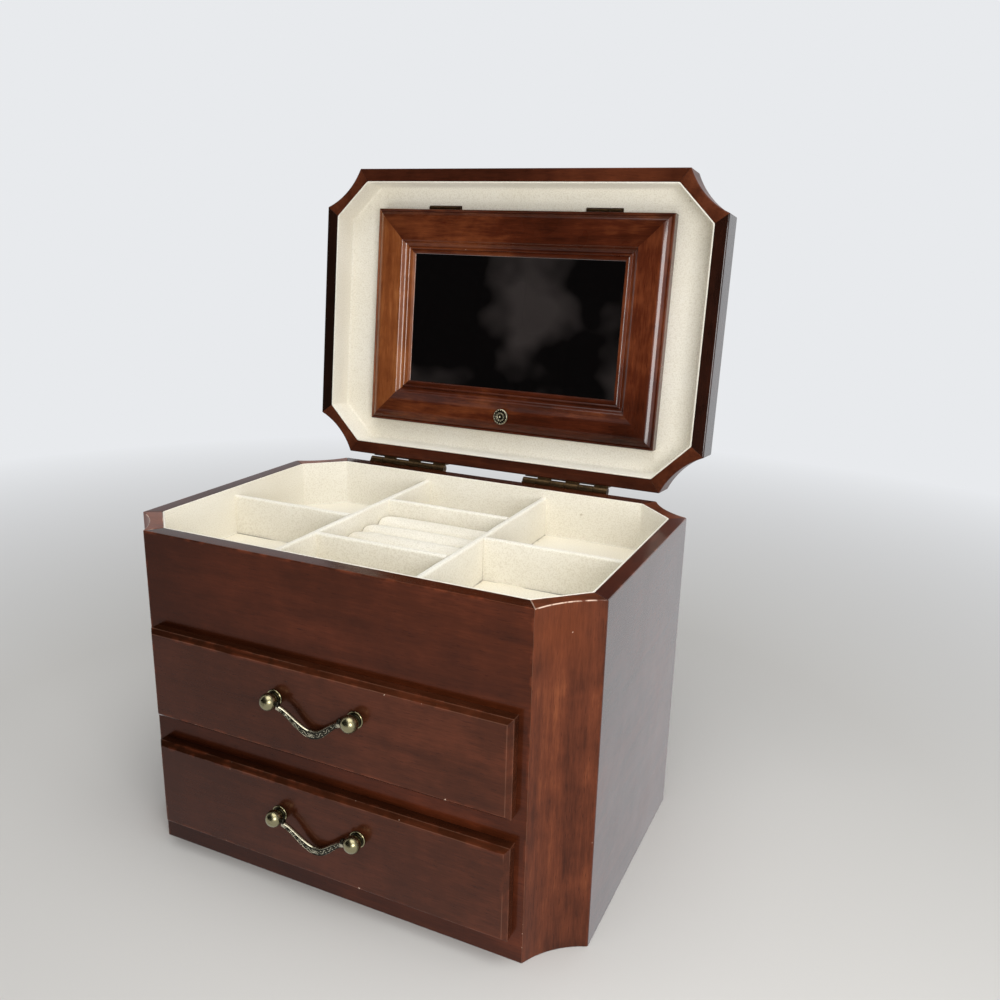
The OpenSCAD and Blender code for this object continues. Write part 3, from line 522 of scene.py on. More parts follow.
def post_top_painted_light(wood):
    """Painted light: a warm glow near the top of the front posts, a highlight on its eased edge."""
    _, y, z = wood.split(wood.place())
    front = (y + POST_Y).ramp(0.0, -0.004)
    spots = wood.noise(wood.place(), 240, detail=2).ramp(0.40, 0.52)
    clouded = wood.noise(wood.place(), 45, detail=2).ramp(0.3, 0.6)
    eased_edge = z.ramp(RIM_Z - 0.0007, RIM_Z - 0.0004) * z.ramp(RIM_Z - 0.00003, RIM_Z - 0.00015)
    return z.ramp(RIM_Z - 0.044, RIM_Z - 0.014) * clouded * front, eased_edge * front * spots

# %% [markdown]
# The front and the drawers share one worn red varnish, and one painted shade that deepens towards
# the left. The sides have the highest gloss, the posts the warmest wood, with its grain upright and
# painted light at its top.

# %% Wood of the case
# The front and both drawers share this gloss, with painted shade deepening towards the left.
front_gloss = {"coat_ior": 1.5, "rough": 0.16, "varnish": (1, 0.30, 0.16, 1), "deeper_stain_and_shade": painted_shade_left,
               "polish": duller_left(0.20)}
front_wood = lacquered_wood("front_wood", tone(42, 17, 7), tone(67, 29, 13), tone(94, 43, 23), "x",
                            shine=0.2, edge=case_edges, arris=0.2, **front_gloss)
side_wood = lacquered_wood("side_wood", tone(40, 15, 9), tone(68, 29, 19), tone(92, 44, 30), "y",
                           shift=(0.3, 0, 0.1), coat_ior=1.9, shine=0.1, edge=case_edges,
                           arris=0.15, polish=outer_side)
post_wood = lacquered_wood("post_wood", tone(58, 26, 13), tone(100, 50, 29), tone(138, 76, 45), "z",
                           shift=(0, 0.2, 0.3), figure=1.35, coat=0.16, coat_ior=1.4, shine=0.1,
                           edge=case_edges, arris=0.25, top=post_top_painted_light)


def drawer_wood(drawer, shift):
    """The wood of one drawer front, browner than the front board and with quieter figure."""
    return lacquered_wood(drawer + "_front_wood", tone(34, 15, 7), tone(62, 30, 16), tone(90, 45, 27),
                          "x", shift=shift, figure=0.85, edge=drawer_front_edges(drawer), arris=0.12,
                          wear=0.3, shine=0.3, **front_gloss)


upper_front_wood = drawer_wood("upper", (0.11, 0.4, 0.03))
lower_front_wood = drawer_wood("lower", (0.5, 0.1, 0.31))
print("wood finishes so far:", len([m for m in bpy.data.materials if "wood" in m.name]))

# %% [markdown]
# The lid and the frame of the mirror are seen from close by. The lid is the darkest wood of the
# box and its frame the warmest, with a higher gloss. The lid's left rail is a darker copy of its
# wood, as painted shade, and the frame's left rail a paler copy, as painted light. Their grain is
# laid in the frame of the open lid, so that it runs along each rail and turns at the mitres.

# %% Wood of the lid and of the mirror frame
lid_long_wood = lacquered_wood("lid_long_wood", tone(34, 13, 6), tone(66, 30, 17), tone(96, 48, 28),
                               "x", shift=(0.7, 0.2, 0), deeper_stain_and_shade=darker_ends(0.14, 2), lid=True)
# Painted shade: the lid's left rail is a darker copy of the lid's wood.
lid_left_shaded_wood = lacquered_wood("lid_left_shaded_wood", tone(14, 7, 4), tone(28, 14, 8), tone(44, 22, 13),
                               "y", shift=(0.2, 0.7, 0), lid=True)
lid_right_wood = lacquered_wood("lid_right_wood", tone(22, 9, 5), tone(42, 19, 11), tone(64, 31, 19),
                                "y", shift=(0.4, 0.1, 0), coat=0.8, coat_ior=1.5, lid=True)
lid_post_wood = lacquered_wood("lid_post_wood", tone(42, 18, 9), tone(78, 38, 22), tone(108, 58, 36),
                               "z", shift=(0.1, 0.3, 0.6), lid=True)
frame_gloss = {"coat": 0.9, "coat_ior": 1.5, "shine": 0.05, "rough": 0.22, "lid": True}
frame_long_wood = lacquered_wood("frame_long_wood", tone(38, 13, 5), tone(74, 31, 15),
                                 tone(122, 64, 34), "x", shift=(0.9, 0.5, 0.2), figure=1.3,
                                 deeper_stain_and_shade=darker_ends(0.112, 2), **dict(frame_gloss, coat=0.35))
# Painted light: the frame's left rail is a paler, warmer copy of the frame's wood.
frame_left_lit_wood = lacquered_wood("frame_left_lit_wood", tone(84, 36, 14), tone(134, 74, 38),
                                 tone(176, 110, 62), "y", shift=(0.4, 0.9, 0.5), figure=1.2,
                                 deeper_stain_and_shade=darker_ends(2, 0.074), **frame_gloss)
frame_right_wood = lacquered_wood("frame_right_wood", tone(42, 15, 6), tone(82, 35, 17),
                                  tone(130, 68, 38), "y", shift=(0.1, 0.6, 0.9), figure=1.3,
                                  deeper_stain_and_shade=darker_ends(2, 0.074), **frame_gloss)


def bare_wood(name, grain, shift=(0, 0, 0)):
    """Pale board without lacquer, for the inside and the underside."""
    wood = Finish(name, Roughness=0.7)
    fibre = wood.place(shift, GRAIN[grain])
    bands = wood.noise(fibre, 80, detail=3, distortion=0.8)
    streaks = wood.noise(fibre, 700, detail=2)
    tint = wood.mix(bands.ramp(0.35, 0.68), tone(176, 138, 98), tone(214, 182, 140))
    tint = wood.mix(streaks.ramp(0.58, 0.75) * 0.5, tint, tone(140, 102, 66))
    return wood.wire(Base_Color=tint, Normal=wood.bump(streaks, 0.2, 0.0003))


board_x = bare_wood("board_grain_x", "x")
board_y = bare_wood("board_grain_y", "y", (0.2, 0, 0.1))

# %% [markdown]
# Flocked felt is short fibre glued on end. It scatters light evenly, catches it softly at
# grazing angles, and shows a speckle of fibres with a few darker spots where it has been
# handled. Sheen is a constant on the shader, and the speckle is two fine noises.

# %% Felt
def felt_finish(name, pale, shade, shift=(0, 0, 0), seam=None):
    """seam is the distance to the nearest joint, with dust and a painted shade line along it."""
    felt = Finish(name, Roughness=0.95, Sheen_Weight=0.30, Sheen_Roughness=0.5,
                  Specular_IOR_Level=0.12)
    place = felt.place(shift)
    speckle = felt.noise(place, 1300, detail=2)
    clumps = felt.noise(place, 260, detail=3, roughness=0.65)
    handled = felt.noise(place, 17, detail=3)
    tint = felt.mix(handled.ramp(0.30, 0.75), shade, pale)
    tint = felt.mix(speckle.ramp(0.30, 0.50) * 0.5 + 0.5, felt.mix(0.80, shade, pale), tint)
    tint = felt.mix(speckle.ramp(0.46, 0.66) * 0.42, tint, tone(208, 199, 178))
    specks = felt.noise(place, 150, detail=2, roughness=0.6).ramp(0.76, 0.80)
    tint = felt.mix(specks * 0.55, tint, tone(168, 150, 118))
    if seam is not None:
        distance = seam(felt)
        # The dark line along the open joint is painted shade; the speckles beside it are dust.
        painted_joint_shade = felt.noise(place, 42, detail=3).ramp(0.38, 0.52) * distance.ramp(0.0011, 0.0004)
        dust = felt.noise(place, 420, detail=2).ramp(0.60, 0.72) * distance.ramp(0.0060, 0.0004)
        tint = felt.mix(dust * 0.35, tint, tone(170, 152, 118))
        tint = felt.mix(painted_joint_shade * 0.9, tint, tone(66, 53, 38))
    return felt.wire(Base_Color=tint, Normal=felt.bump(speckle * 0.6 + clumps * 0.7, 0.30, 0.0005))


FLOOR_CUT = 0.0219


def tray_seams(felt):
    """Distance on the tray's floor to the nearest wall or divider. The middle column has cross
    dividers of its own, and beside is 1 outside it: the added metre leaves the others out."""
    x, y, _ = felt.split(felt.place())
    ax, ay = abs(x), abs(y)
    half_x, half_y = span("tray_floor_felt", 0)[1], span("tray_floor_felt", 1)[1]
    outer, inner = (-face for face in span("left_divider", 0))
    cut_corner = abs(ax + ay - (half_x + half_y - FLOOR_CUT)) * SLANT
    beside = ax > (outer + inner) / 2

    def faces_of(*dividers):
        gaps = [abs(y - face) for node in dividers for face in span(node, 1)]
        return gaps[0].least(*gaps[1:])

    middle = faces_of("front_cross_divider", "rear_cross_divider")
    sides = faces_of("left_cross_divider")
    return abs(ax - outer).least(abs(ax - half_x), abs(ay - half_y), cut_corner,
                                 middle + beside, sides + (1 - beside))


cream_felt = felt_finish("cream_felt", tone(247, 243, 231), tone(239, 233, 217))
floor_felt = felt_finish("floor_felt", tone(244, 239, 224), tone(234, 226, 206), (0.3, 0.1, 0),
                         seam=tray_seams)
drawer_felt = felt_finish("drawer_felt", tone(244, 239, 224), tone(234, 226, 206), (0.1, 0.3, 0))
roll_felt = felt_finish("roll_felt", tone(246, 241, 227), tone(238, 231, 213), (0.6, 0.2, 0))
print("felts:", len([m for m in bpy.data.materials if "felt" in m.name]))

# %% [markdown]
# The brass is aged: bright where fingers rub it, nearly black in its hollows. On the pieces with
# relief an attribute called height says how far each point stands out, and the dark colour
# fills what lies low. Plain pieces use a broad noise in its place.

# %% Antique brass, steel and mirror
def aged_brass(name, bright, dark, relief=False, patch=0.5, rough=0.20):
    """patch is how much of a plain piece is dark, rough how dull the bright brass is."""
    brass = Finish(name, Metallic=1.0)
    place = brass.place()
    patches = brass.noise(place, 190, detail=4, roughness=0.6)
    grime = patches.ramp(0.42, 0.72) * patch
    if relief:
        stands = brass.node("ShaderNodeAttribute", {"attribute_name": "height"}, out="Fac")
        grime = grime.most(stands.ramp(0.85, 0.35) * 0.96)
    tint = brass.mix(grime, bright, dark)
    scratches = brass.noise(place, 2400, detail=1)
    return brass.wire(Base_Color=tint, Roughness=grime * 0.26 + rough,
                      Normal=brass.bump(scratches, 0.06, 0.0001))


post_brass = aged_brass("post_brass", tone(182, 173, 134), tone(30, 27, 19), relief=True, patch=0.8,
                        rough=0.16)
worked_brass = aged_brass("worked_brass", tone(190, 183, 158), tone(20, 17, 13), relief=True)
hinge_brass = aged_brass("hinge_brass", tone(94, 74, 50), tone(38, 29, 20), patch=0.85, rough=0.42)
small_hinge_brass = aged_brass("small_hinge_brass", tone(88, 68, 46), tone(44, 33, 23), patch=0.9,
                               rough=0.45)

zinc = Finish("zinc_plate", Metallic=1.0, Roughness=0.35)
spangle = zinc.noise(zinc.place(), 300, detail=3).ramp(0.3, 0.7)
zinc_plate = zinc.wire(Base_Color=zinc.mix(spangle, tone(150, 150, 152), tone(192, 192, 192)))

silver = Finish("mirror_silver", Metallic=1.0)
smudge = silver.noise(silver.place(), 40, detail=4, roughness=0.6).ramp(0.50, 0.80)
mirror_silver = silver.wire(
    Base_Color=silver.mix(smudge * 0.25, tone(232, 236, 236), tone(214, 216, 212)),
    Roughness=smudge * 0.05 + 0.012)
print("brasses:", len([m for m in bpy.data.materials if "brass" in m.name]))

# %% [markdown]
# New pieces are grids of points worked out with numpy. This helper collects grids, joins them
# into one mesh, closes ends that have shrunk to a point, and turns the faces outwards. Lengths
# are in millimetres here, as in the drawing, and become metres as the mesh is made.

# %% Grids into meshes
MERGED = 2e-6


def smooth(mesh):
    """Shades every face smoothly."""
    mesh.polygons.foreach_set("use_smooth", np.ones(len(mesh.polygons), bool))


def reworked(mesh, steps):
    """Merges the doubles of a mesh, lets a function work on it, and shades it smoothly."""
    work = bmesh.new()
    work.from_mesh(mesh)
    bmesh.ops.remove_doubles(work, verts=work.verts, dist=MERGED)
    steps(work)
    work.to_mesh(mesh)
    work.free()
    smooth(mesh)


def stands_in(obj, node):
    """Puts a new piece in the place of a node of the model, on the body that the node rides."""
    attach(obj, nodes[node]["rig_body"])
    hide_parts(node)
    return obj


def faces_out(work):
    """Drops faces that have shrunk to nothing, and turns the others outwards."""
    bmesh.ops.dissolve_degenerate(work, dist=1e-7, edges=work.edges)
    bmesh.ops.recalc_face_normals(work, faces=work.faces)


class Shape:
    """Collects grids of points, with a height for each point, and joins them into one piece."""

    def __init__(self):
        self.points, self.quads, self.heights, self.count = [], [], [], 0

    def grid(self, points, wrap=(False, False), height=None):
        """Adds a grid. wrap says whether its last row joins its first, and its last column."""
        rows, columns = points.shape[:2]
        index = np.arange(rows * columns).reshape(rows, columns) + self.count
        if wrap[0]:
            index = np.vstack([index, index[:1]])
        if wrap[1]:
            index = np.hstack([index, index[:, :1]])
        self.points.append(points.reshape(-1, 3))
        self.quads.append(quads_of(index))
        level = np.ones((rows, columns)) if height is None else height
        self.heights.append(np.asarray(level, float).reshape(-1))
        self.count += rows * columns
        return self

    def piece(self, name, material, slot, node, sharp=35):
        """The grids as one mesh that stands in for a node. Edges above sharp degrees stay sharp."""
        mesh = bpy.data.meshes.new(name)
        points = np.concatenate(self.points) * MM
        mesh.from_pydata(points.tolist(), [], np.concatenate(self.quads).tolist())
        mesh.attributes.new("height", "FLOAT", "POINT").data.foreach_set(
            "value", np.concatenate(self.heights))
        reworked(mesh, faces_out)
        mesh.set_sharp_from_angle(angle=math.radians(sharp))
        mesh.materials.append(material)
        return stands_in(placed(name, mesh), node)


def closed_ends(rings):
    """Adds, before the first ring and after the last, a ring that has shrunk to its middle."""
    middle = rings[[0, -1]].mean(axis=1, keepdims=True).repeat(rings.shape[1], 1)
    return np.concatenate([middle[:1], rings, middle[1:]])


def turned(shape, profile, centre, axis, segments, height):
    """A lathe's work: profile holds (radius, distance along the axis), and point (i, j) is
    centre + radius_i (cos a_j e1 + sin a_j e2) + distance_i axis."""
    profile = np.array(profile, float)
    axis = np.array(axis, float) / np.linalg.norm(axis)
    first = np.cross(axis, [0.3, 0.5, 0.8])
    first /= np.linalg.norm(first)
    second = np.cross(axis, first)
    angle = np.arange(segments) * 2 * np.pi / segments
    ring = np.cos(angle)[:, None] * first + np.sin(angle)[:, None] * second
    points = (np.array(centre, float) + profile[:, None, :1] * ring[None]
              + profile[:, None, 1:] * axis)
    return shape.grid(points, (False, True), np.repeat(np.array(height, float)[:, None], segments, 1))


# %% [markdown]
# A real wooden edge is never a knife edge. A copy of each board gets its triangles merged into
# whole faces, and then a Bevel of a fraction of a millimetre, which catches the light as a thin
# line. The same bevel opens a hair of shadow where two boards meet, as a glued joint shows. A
# Weighted Normal then lets each large face decide the shading at its corners, so that it stays flat.

# %% Eased copies of the boards
FLAT_ANGLE, EDGE_ANGLE = math.radians(0.6), math.radians(20)


def whole_faces(work):
    """Merges the triangles that lie in one plane."""
    bmesh.ops.dissolve_limit(work, angle_limit=FLAT_ANGLE, verts=work.verts, edges=work.edges)


def eased(node, material, width, segments=2):
    """A copy of a node of the model with its edges eased by width, in millimetres."""
    mesh = nodes[node].data.copy()
    mesh.materials.clear()
    reworked(mesh, whole_faces)
    mesh.materials.append(material)
    obj = placed(node + "_eased", mesh)
    bevel = obj.modifiers.new("eased_edge", "BEVEL")
    bevel.width = width * MM
    bevel.segments = segments
    bevel.limit_method = "ANGLE"
    bevel.angle_limit = EDGE_ANGLE
    bevel.harden_normals = True
    bevel.use_clamp_overlap = True
    flat = obj.modifiers.new("flat_faces", "WEIGHTED_NORMAL")
    flat.mode = "FACE_AREA"
    flat.weight = 100
    flat.keep_sharp = False
    return stands_in(obj, node)


for slot, width, boards in (
        ("case_wood", 0.5, {"case_front": front_wood, "case_back": front_wood,
                            "case_left_side": side_wood, "case_right_side": side_wood}),
        ("case_wood", 0.55, {"upper_drawer_front": upper_front_wood,
                             "lower_drawer_front": lower_front_wood}),
        ("case_wood", 0.25, {"lid_front_rail": lid_long_wood, "lid_rear_rail": lid_long_wood,
                             "lid_left_rail": lid_left_shaded_wood, "lid_right_rail": lid_right_wood}),
        ("post_wood", 0.5, {"case_corner_posts": post_wood}),
        ("post_wood", 0.25, {"lid_corner_posts": lid_post_wood}),
        ("frame_wood", 0.12, {"door_top_rail": frame_long_wood, "door_bottom_rail": frame_long_wood,
                              "door_left_rail": frame_left_lit_wood, "door_right_rail": frame_right_wood})):
    for node, material in boards.items():
        eased(node, material, width)

# %% [markdown]
# The dividers of the tray are strips of board under felt. Wrapped cloth can't follow a sharp
# corner, so each top edge is round, and the strip is never quite straight or quite even. One
# outline is carried along the strip, and two slow waves make it thinner and lower here and there.

# %% Dividers
def divider(node, material, crown=1.35, step=1.5):
    """A wall with a rounded top. At the distance s along it, the half thickness is the board's
    less 0.09 (1 + sin), and the height is the board's less 0.12 (1 + sin), of slow waves in s."""
    low, high = box_of(node)
    along = int(np.argmax((high - low)[:2]))
    across = 1 - along
    half = (high - low)[across] / 2
    tall = high[2] - low[2]
    bend = np.linspace(0, np.pi / 2, 7)
    round_side = np.stack([half - crown + crown * np.cos(bend),
                           tall - crown + crown * np.sin(bend)], -1)
    wall = np.array([[half, 0.0], [half, tall * 0.3], [half, tall * 0.65]])
    outline = np.concatenate([wall, round_side])
    outline = np.concatenate([outline, outline[::-1] * [-1, 1]])
    s = np.linspace(low[along], high[along], int((high - low)[along] / step) + 2)
    seed = low[0] * 0.7 + low[1] * 0.3
    thinner = 0.09 * (1 + np.sin(s * 0.16 + seed)) / half
    lower = 0.12 * (1 + np.sin(s * 0.11 + 2 * seed) * np.cos(s * 0.053 + seed)) / tall
    points = np.zeros((len(s), len(outline), 3))
    points[:, :, along] = s[:, None]
    points[:, :, across] = (low + high)[across] / 2 + outline[None, :, 0] * (1 - thinner[:, None])
    points[:, :, 2] = low[2] + outline[None, :, 1] * (1 - lower[:, None])
    return Shape().grid(closed_ends(points), (False, True)).piece(
        node + "_wrapped", material, "felt", node)


for node in ("left_divider", "right_divider", "left_cross_divider", "right_cross_divider",
             "front_cross_divider", "rear_cross_divider"):
    divider(node, cream_felt)

# %% [markdown]
# Both felt linings are bands that run round a cut-cornered rectangle. Their outline is carried
# round that path. Its eight corners are drawn as small curves, as felt bends and doesn't fold,
# and the top edge is round, so it takes a thin bright line.

# %% Linings of the tray and of the lid
def corner_path(half_x, half_y, cut, inset, bend=1.2, per=5):
    """The cut-cornered rectangle moved in by inset. Each corner C is replaced by the curve
    (1-t)^2 A + 2t(1-t) C + t^2 B between two points A and B at the distance bend from it."""
    x, y = half_x - inset, half_y - inset
    c = cut - inset * (2 - math.sqrt(2))
    corners = np.array([[x, c - y], [x, y - c], [x - c, y], [c - x, y],
                        [-x, y - c], [-x, c - y], [c - x, -y], [x - c, -y]])
    back = np.roll(corners, 1, axis=0) - corners
    on = np.roll(corners, -1, axis=0) - corners
    first = corners + bend * back / np.linalg.norm(back, axis=1, keepdims=True)
    last = corners + bend * on / np.linalg.norm(on, axis=1, keepdims=True)
    t = np.linspace(0, 1, per)[None, :, None]
    curve = (1 - t) ** 2 * first[:, None] + 2 * t * (1 - t) * corners[:, None] + t ** 2 * last[:, None]
    return curve.reshape(-1, 2)


def lining(plan, outline):
    """A closed outline of (inset, height) carried round the path: one row for each of its points."""
    rows = []
    for inset, level in outline:
        path = corner_path(*plan, inset)
        rows.append(np.column_stack([path, np.full(len(path), level)]))
    return np.array(rows)


TRAY_PLAN, TRAY_RIM = (131, 88.5, 22.5), 190.0
LID_PLAN = (131.8, 89.3, 23.3)
COVE_RADIUS, COVE_INSET, COVE_LEVEL = 1.6, 2.6, -17.4
FELT_EDGE = 0.25
rim_round = [(0.5 + 0.5 * math.sin(a), -0.5 + 0.5 * math.cos(a))
             for a in np.linspace(-math.pi / 2, math.pi / 2, 9)]
tray_outline = [(0, 159.0), (0, 174.0)] + [(i, TRAY_RIM + z) for i, z in rim_round] + [
    (1, 175.0), (1, 161.0), (1.15, 160.3), (1.6, 160.02), (1.6, 159.6), (1, 159.6), (1, 159.0)]
Shape().grid(lining(TRAY_PLAN, tray_outline), (True, True)).piece(
    "tray_lining", cream_felt, "felt", "tray_liner")

cove = [(COVE_INSET - COVE_RADIUS * math.cos(a), COVE_LEVEL - COVE_RADIUS * math.sin(a))
        for a in np.linspace(0, math.pi / 2, 5)]
lid_outline = [(0, -20.0), (0, -10.0)] + rim_round + [(1, -9.0)] + cove + [
    (2.6, -19.3), (1, -19.3), (1, -20.0)]
Shape().grid(from_lid(lining(LID_PLAN, lid_outline)), (True, True)).piece(
    "lid_lining", cream_felt, "felt", "lid_liner")

for node, material in (("tray_floor_felt", floor_felt), ("lid_floor_felt", cream_felt),
                       ("upper_drawer_lining", drawer_felt), ("lower_drawer_lining", drawer_felt)):
    eased(node, material, FELT_EDGE)

# %% [markdown]
# The ring rolls are tubes of felt stuffed with wadding, gathered at both ends. A roll is started
# a little too slim, as an even net. The Cloth modifier then blows it up from inside, so that the
# cloth swells, wanders and creases by itself. How far it may swell is capped by its neighbours.

# %% Ring rolls before they are stuffed
ROLL_PITCH, ROLL_FIRST_Y, ROLL_Z, ROLL_HALF = 18.375, -30.3125, 169.3875, 40.6


def slim_roll(index, radius=7.9, half=40.1, rows=61, segments=40):
    """A long drop, x = half sgn(cos u) |cos u|^0.16 and r = radius |sin u|^0.42, with u from 0 to
    pi along it and a slow wave in r, so that no two rolls swell alike."""
    u = np.linspace(0, np.pi, rows)
    x = half * np.sign(np.cos(u)) * np.abs(np.cos(u)) ** 0.16
    slim = radius * np.abs(np.sin(u)) ** 0.42 * (1 + 0.012 * np.sin(x * 0.21 + 2.1 * index))
    angle = np.arange(segments) * 2 * np.pi / segments
    wobble = 1 + 0.010 * np.sin(3 * angle[None] + x[:, None] * 0.13 + index)
    radius_at = slim[:, None] * wobble
    return np.stack([np.repeat(x[:, None], segments, 1),
                     ROLL_FIRST_Y + index * ROLL_PITCH + radius_at * np.cos(angle)[None],
                     ROLL_Z + radius_at * np.sin(angle)[None]], axis=-1)


rolls = Shape()
for index in range(4):
    rolls.grid(slim_roll(index), (False, True))
ring_rolls = rolls.piece("stuffed_ring_rolls", roll_felt, "felt", "ring_rolls", sharp=180)
print("points before stuffing:", len(ring_rolls.data.vertices))

# %% [markdown]
# Wadding presses a sewn tube outwards from inside. A remesh first gives the cloth an even net,
# without the thin quads at the ends of the drop. Cloth with pressure and without weight then
# swells for some frames. Last, each roll is held inside its own room, and its ends are drawn in.

# %% Stuffing by cloth simulation
ROLL_ROOM, GATHER_FROM, GATHER_DEPTH, FOLDS = 8.95, 0.80, 0.55, 13


def settled(obj):
    """The object's mesh as its modifiers leave it, put in the place of its own mesh."""
    solved = obj.evaluated_get(bpy.context.evaluated_depsgraph_get())
    mesh = bpy.data.meshes.new_from_object(solved)
    obj.modifiers.clear()
    obj.data = mesh
    return obj


def stuffed(obj, net, pressure=4.0, frames=20):
    """An even net over the piece, then cloth blown up from inside for some frames."""
    even = obj.modifiers.new("even_net", "REMESH")
    even.mode = "VOXEL"
    even.voxel_size = net * MM
    settled(obj)
    cloth = obj.modifiers.new("stuffing", "CLOTH")
    cloth.settings.use_pressure = True
    cloth.settings.uniform_pressure_force = pressure
    cloth.settings.effector_weights.gravity = 0
    cloth.settings.quality = 5
    cloth.settings.mass = 0.25
    cloth.settings.bending_stiffness = 0.2
    cloth.settings.shrink_min = -0.03
    cloth.point_cache.frame_start = 1
    cloth.point_cache.frame_end = frames
    for moment in range(1, frames + 1):
        scene.frame_set(moment)
    settled(obj)
    scene.frame_set(1)
    return obj


def points_of(mesh):
    """The points of a mesh in millimetres, one row each."""
    flat = np.empty(len(mesh.vertices) * 3)
    mesh.vertices.foreach_get("co", flat)
    return flat.reshape(-1, 3) / MM


def gathered(points):
    """Keeps each roll inside its own room and draws its ends in: within the last fifth of the
    length the radius loses 0.55 e^2 (1 + cos 13 a) / 2, with e from 0 to 1 and a round the roll."""
    index = np.clip(np.round((points[:, 1] - ROLL_FIRST_Y) / ROLL_PITCH), 0, 3)
    off_y = points[:, 1] - ROLL_FIRST_Y - index * ROLL_PITCH
    off_z = points[:, 2] - ROLL_Z
    radius = np.hypot(off_y, off_z)
    angle = np.arctan2(off_z, off_y)
    end = np.clip((np.abs(points[:, 0]) / ROLL_HALF - GATHER_FROM) / (1 - GATHER_FROM), 0, 1)
    fold = (1 + np.cos(FOLDS * angle + 1.7 * index)) / 2
    wanted = np.minimum(radius, ROLL_ROOM) - GATHER_DEPTH * end ** 2 * fold
    scale = np.maximum(wanted, 0) / np.maximum(radius, 1e-6)
    return np.column_stack([np.clip(points[:, 0], -ROLL_HALF, ROLL_HALF),
                            ROLL_FIRST_Y + index * ROLL_PITCH + off_y * scale, ROLL_Z + off_z * scale])


stuffed(ring_rolls, 1.7)
swollen = points_of(ring_rolls.data)
print("swollen to", np.ptp(swollen, axis=0).round(2), "mm")
ring_rolls.data.vertices.foreach_set("co", (gathered(swollen) * MM).reshape(-1))
smooth(ring_rolls.data)
ring_rolls.data.materials.clear()
ring_rolls.data.materials.append(roll_felt)
finer = ring_rolls.modifiers.new("finer", "SUBSURF")
finer.levels = finer.render_levels = 1
print("points after stuffing:", len(ring_rolls.data.vertices))

# %% [markdown]
# The pulls are cast and turned brass. A post is lathe work: one outline, turned round its axis,
# gives the collar with its bead, the groove, the neck and the ball. Its sizes are read from the
# model's own piece, so the ball sits exactly where the bail swings.

# %% Posts of the pulls
NECK_RADIUS = 3.0


def pull_posts(drawer):
    """Two posts. Along the axis the ball has r = R sin a and d = out - R cos a."""
    low, high = box_of(drawer + "_pull_posts")
    ball = (high - low)[2] / 2
    out = high[1] - low[1] - ball
    a = np.linspace(math.asin(NECK_RADIUS / ball), np.pi, 30)
    collar = [(0, 0), (ball - 0.2, 0), (ball, 0.18), (ball, 0.5), (ball - 0.12, 0.74),
              (ball - 0.4, 0.86), (ball - 0.72, 0.78), (ball - 0.9, 0.6), (ball - 1.25, 0.62),
              (NECK_RADIUS + 0.05, 0.8), (NECK_RADIUS, 1.1)]
    outline = collar + list(zip(ball * np.sin(a), out - ball * np.cos(a)))
    height = [0.2, 0.3, 0.3, 0.45, 1, 0.9, 0.1, 0, 0, 0, 0.1] + [0.63] * len(a)
    posts = Shape()
    for side in (-1, 1):
        foot = (side * (high[0] - ball), high[1], (low + high)[2] / 2)
        turned(posts, outline, foot, (0, -1, 0), 64, height)
    return posts.piece(drawer + "_turned_posts", post_brass, "brass", drawer + "_pull_posts", sharp=50)


for drawer in ("upper", "lower"):
    print(pull_posts(drawer).name, "made")

# %% [markdown]
# The bail is a cast band that hangs between the balls. Its front carries a scroll in low relief
# between two raised edges, over a ground that age has blackened. The band is one outline carried
# along the hanging curve. The relief is a height field on the same two parameters, the distance
# along the band and across it, and it also drives the colour.

# %% Bails
BAIL_HALF, BAIL_DROP, BAIL_START, PIN_END = 19.4, 13.5, 1.4, 23.5
BAIL_LEAN, BAIL_THICK, BAIL_END_WIDTH, BAIL_MIDDLE_WIDTH = math.radians(10), 2.4, 2.6, 5.2
RELIEF, SCROLL_WAVE, FRONT_POINTS, REAR_POINTS = 0.38, 6.2, 35, 13


def step(low, high, value):
    """A smooth step from 0 at low to 1 at high."""
    t = np.clip((value - low) / (high - low), 0, 1)
    return t * t * (3 - 2 * t)


def scroll(length, across, half_height):
    """Height from 0 to 1: raised edges, a stem that waves as sin, a leaf on each of its turns,
    and a flower in the middle. length and half_height are in millimetres, across from -1 to 1."""
    edge = step(0.79, 0.87, np.abs(across))
    stem = 1 - step(0.05, 0.17, np.abs(across - 0.36 * np.sin(2 * np.pi * length / SCROLL_WAVE)))
    turn = np.round((length - SCROLL_WAVE / 4) / (SCROLL_WAVE / 2))
    along = length - SCROLL_WAVE / 4 - SCROLL_WAVE / 2 * turn
    aside = (across + 0.34 * np.where(turn % 2 == 0, 1, -1)) * half_height
    leaf = np.exp(-(along / 0.85) ** 2 - (aside / 0.55) ** 2) * (0.8 + 0.2 * np.cos(7 * along))
    bloom_r = np.hypot(length, across * half_height * 1.1)
    petal = 0.75 + 0.25 * np.cos(6 * np.arctan2(across * half_height, length))
    bloom = (1 - step(1.3, 1.9, bloom_r)) * petal * 0.72
    inner = np.maximum(np.maximum(stem, leaf), bloom)
    worn = 1 - step(0.86, 0.95, np.abs(length) / np.abs(length).max())
    return np.maximum(edge, inner * worn), worn


